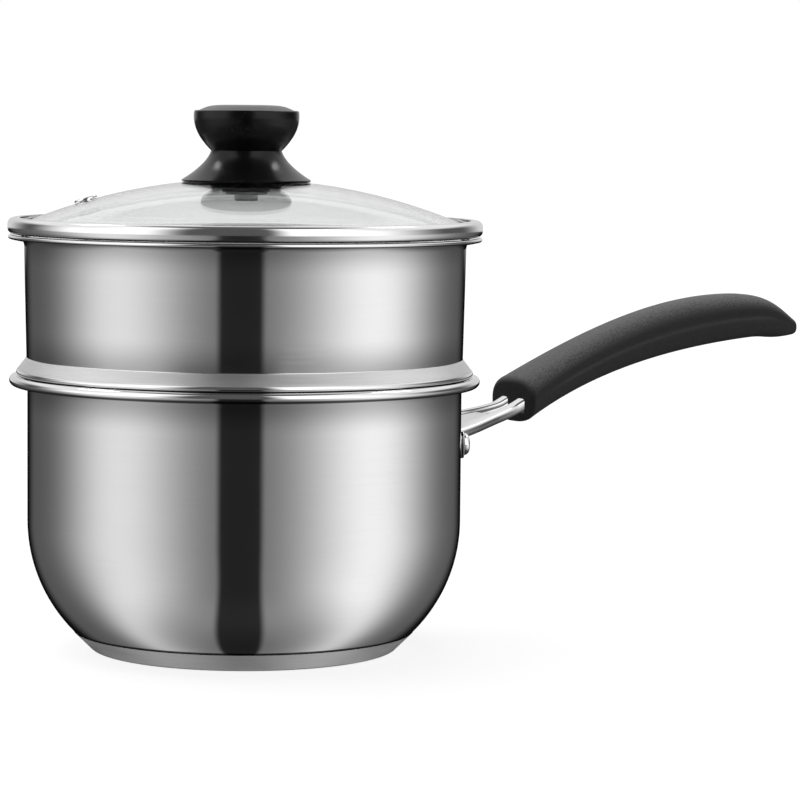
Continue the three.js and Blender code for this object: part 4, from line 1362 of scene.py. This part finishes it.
FLANK_LEVEL = 0.95
ZENITH = (57, 70, 0, 1)
ZENITH_LEVEL = 0.12
SPOT_AZIMUTH = (128, 11)
SPOT_ELEVATION = (52, 8)
SPOT_EDGE = (0.2, 1, 6, 0)
HORIZON = (70, 125, -4.2, -2)
HORIZON_BLUR = 1.6


def seen_white(shader):
    """1 for rays that show the background: from the camera, off gloss and through glass."""
    path = shader.node("ShaderNodeLightPath")
    gloss = shader.math("MAXIMUM", path.outputs["Is Camera Ray"], path.outputs["Is Glossy Ray"])
    return shader.math("MAXIMUM", gloss, path.outputs["Is Transmission Ray"])


def glow(shader, strength):
    return shader.node("ShaderNodeEmission", Color=grey(1), Strength=strength)


def floor_material():
    """Pale floor that looks white and still takes the shadow."""
    material, shader = new_material("studio_floor")
    both = shader.node("ShaderNodeAddShader")
    matt = shader.node("ShaderNodeBsdfDiffuse", Color=grey(FLOOR_TONE))
    bright = glow(shader, shader.times(seen_white(shader), FLOOR_GLOW))
    shader.feed(both.inputs[0], matt.outputs[0])
    shader.feed(both.inputs[1], bright.outputs[0])
    shader.surface(both)
    return material


def add_floor():
    mesh = bpy.data.meshes.new("studio_floor")
    mesh.from_pydata(box_ring(FLOOR_REACH, FLOOR_REACH, 0), [], [(0, 1, 2, 3)])
    mesh.materials.append(floor_material())
    floor = add_object("studio_floor", mesh)
    floor.location.z = -0.0002
    floor.visible_glossy = False
    floor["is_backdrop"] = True


def bowl_material():
    """Two soft boxes, a dark strip where the camera stands and a dark back below."""
    material, shader = new_material("light_bowl")
    ramp, plus, times, towards = shader.ramp, shader.plus, shader.times, shader.towards
    unit = shader.fed("ShaderNodeVectorMath", {"operation": "NORMALIZE"}, shader.place())
    x, y, z = shader.parts(unit)
    below = shader.math("POWER", shader.math("MAXIMUM", times(z, -1), 0), BOWL_PULL_POWER)
    ahead = shader.minus(times(below, BOWL_PULL), y)
    azimuth = shader.math("DEGREES", shader.math("ARCTAN2", x, ahead))
    elevation = shader.math("DEGREES", shader.math("ARCSINE", z))
    away = shader.math("ABSOLUTE", azimuth)

    def offset(value, centre, width):
        return shader.math("DIVIDE", shader.minus(value, centre), width)

    def soft_box(centre, width, strength):
        off = offset(azimuth, centre, width)
        return times(shader.math("EXPONENT", times(off, off, -1)), strength)

    low = plus(*(soft_box(*box) for box in LOW_BOXES), LOW_LEVEL)
    low = towards(low, ramp(elevation, *LOW_GROUND), LOW_GROUND_LEVEL)
    beside_strip = shader.minus(shader.math("ABSOLUTE", plus(azimuth, -STRIP_AZIMUTH)), STRIP_REACH)
    back = ramp(elevation, *BACK_EDGE)
    low = times(
        low,
        ramp(away, *LOW_SIDES),
        ramp(away, back, plus(back, BACK_BLUR), 1, BACK_LEVEL),
        ramp(elevation, *LOW_FOOT),
        ramp(beside_strip, *STRIP_EDGE),
    )
    spread = shader.math("SQRT", plus(times(x, x), times(ahead, ahead)))
    low = towards(low, ramp(spread, *POLE_BLUR), POLE_LEVEL)
    boxes = [times(ramp(azimuth, *inner), ramp(azimuth, *outer)) for inner, outer in HIGH_BOXES]
    high = plus(*boxes, HIGH_LEVEL, ramp(away, *HIGH_BACK))
    flanks = plus(*(ramp(azimuth, *flank) for flank in FLANKS))
    high = towards(high, times(flanks, ramp(elevation, *FLANK_RISE)), FLANK_LEVEL)
    high = towards(high, ramp(elevation, *ZENITH), ZENITH_LEVEL)
    off = shader.math("POWER", offset(away, *SPOT_AZIMUTH), 2)
    rise = shader.math("POWER", offset(elevation, *SPOT_ELEVATION), 2)
    high = plus(high, ramp(plus(off, rise), *SPOT_EDGE))
    edge = ramp(away, *HORIZON)
    upper = ramp(elevation, edge, plus(edge, HORIZON_BLUR), 0, 1)
    shader.surface(glow(shader, towards(low, upper, high)))
    material.cycles.emission_sampling = "NONE"
    return material


def add_bowl():
    work = bmesh.new()
    bmesh.ops.create_uvsphere(work, u_segments=96, v_segments=48, radius=6)
    mesh = bpy.data.meshes.new("light_bowl")
    work.to_mesh(mesh)
    work.free()
    mesh.materials.append(bowl_material())
    bowl = add_object("light_bowl", mesh)
    bowl.rotation_euler.z = CAMERA_AZIMUTH
    bowl.visible_camera = False
    bowl.visible_diffuse = False
    bowl.visible_transmission = False
    bowl.visible_shadow = False
    bowl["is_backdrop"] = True


def add_lamp():
    data = bpy.data.lights.new("top_light", "SUN")
    data.energy = 1.5
    data.angle = radians(60)
    lamp = add_object("top_light", data)
    lamp.rotation_euler = (radians(-22), radians(-8), 0)
    lamp.visible_glossy = False
    lamp.visible_transmission = False


def add_world():
    world = bpy.data.worlds.new("studio")
    bpy.context.scene.world = world
    shader = Shader(world)
    strength = shader.linear(seen_white(shader), 0, 1, WORLD_FILL, 1)
    sky = shader.node("ShaderNodeBackground", Color=grey(1), Strength=strength)
    shader.surface(sky, "ShaderNodeOutputWorld")


def add_camera():
    data = bpy.data.cameras.new("camera")
    data.sensor_width = 36
    data.lens = 145.5
    data.clip_end = 100
    camera = add_object("camera", data)
    back = Vector((sin(CAMERA_AZIMUTH), -cos(CAMERA_AZIMUTH), 0))
    camera.location = back * CAMERA_DISTANCE + Vector((0, 0, CAMERA_HEIGHT))
    aim = polar(1, CAMERA_AZIMUTH) * AIM_RIGHT + Vector((0, 0, AIM_HEIGHT))
    camera.rotation_mode = "QUATERNION"
    level = (aim - camera.location).to_track_quat("-Z", "Y")
    camera.rotation_quaternion = level @ Quaternion((0, 0, 1), CAMERA_ROLL)
    bpy.context.scene.camera = camera


add_floor()
add_bowl()
add_lamp()
add_world()
add_camera()
bpy.context.scene.view_settings.view_transform = "Standard"

boxes = {"cad": cad_box, "visual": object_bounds()}
{name: [list(corner) for corner in box] for name, box in boxes.items()}
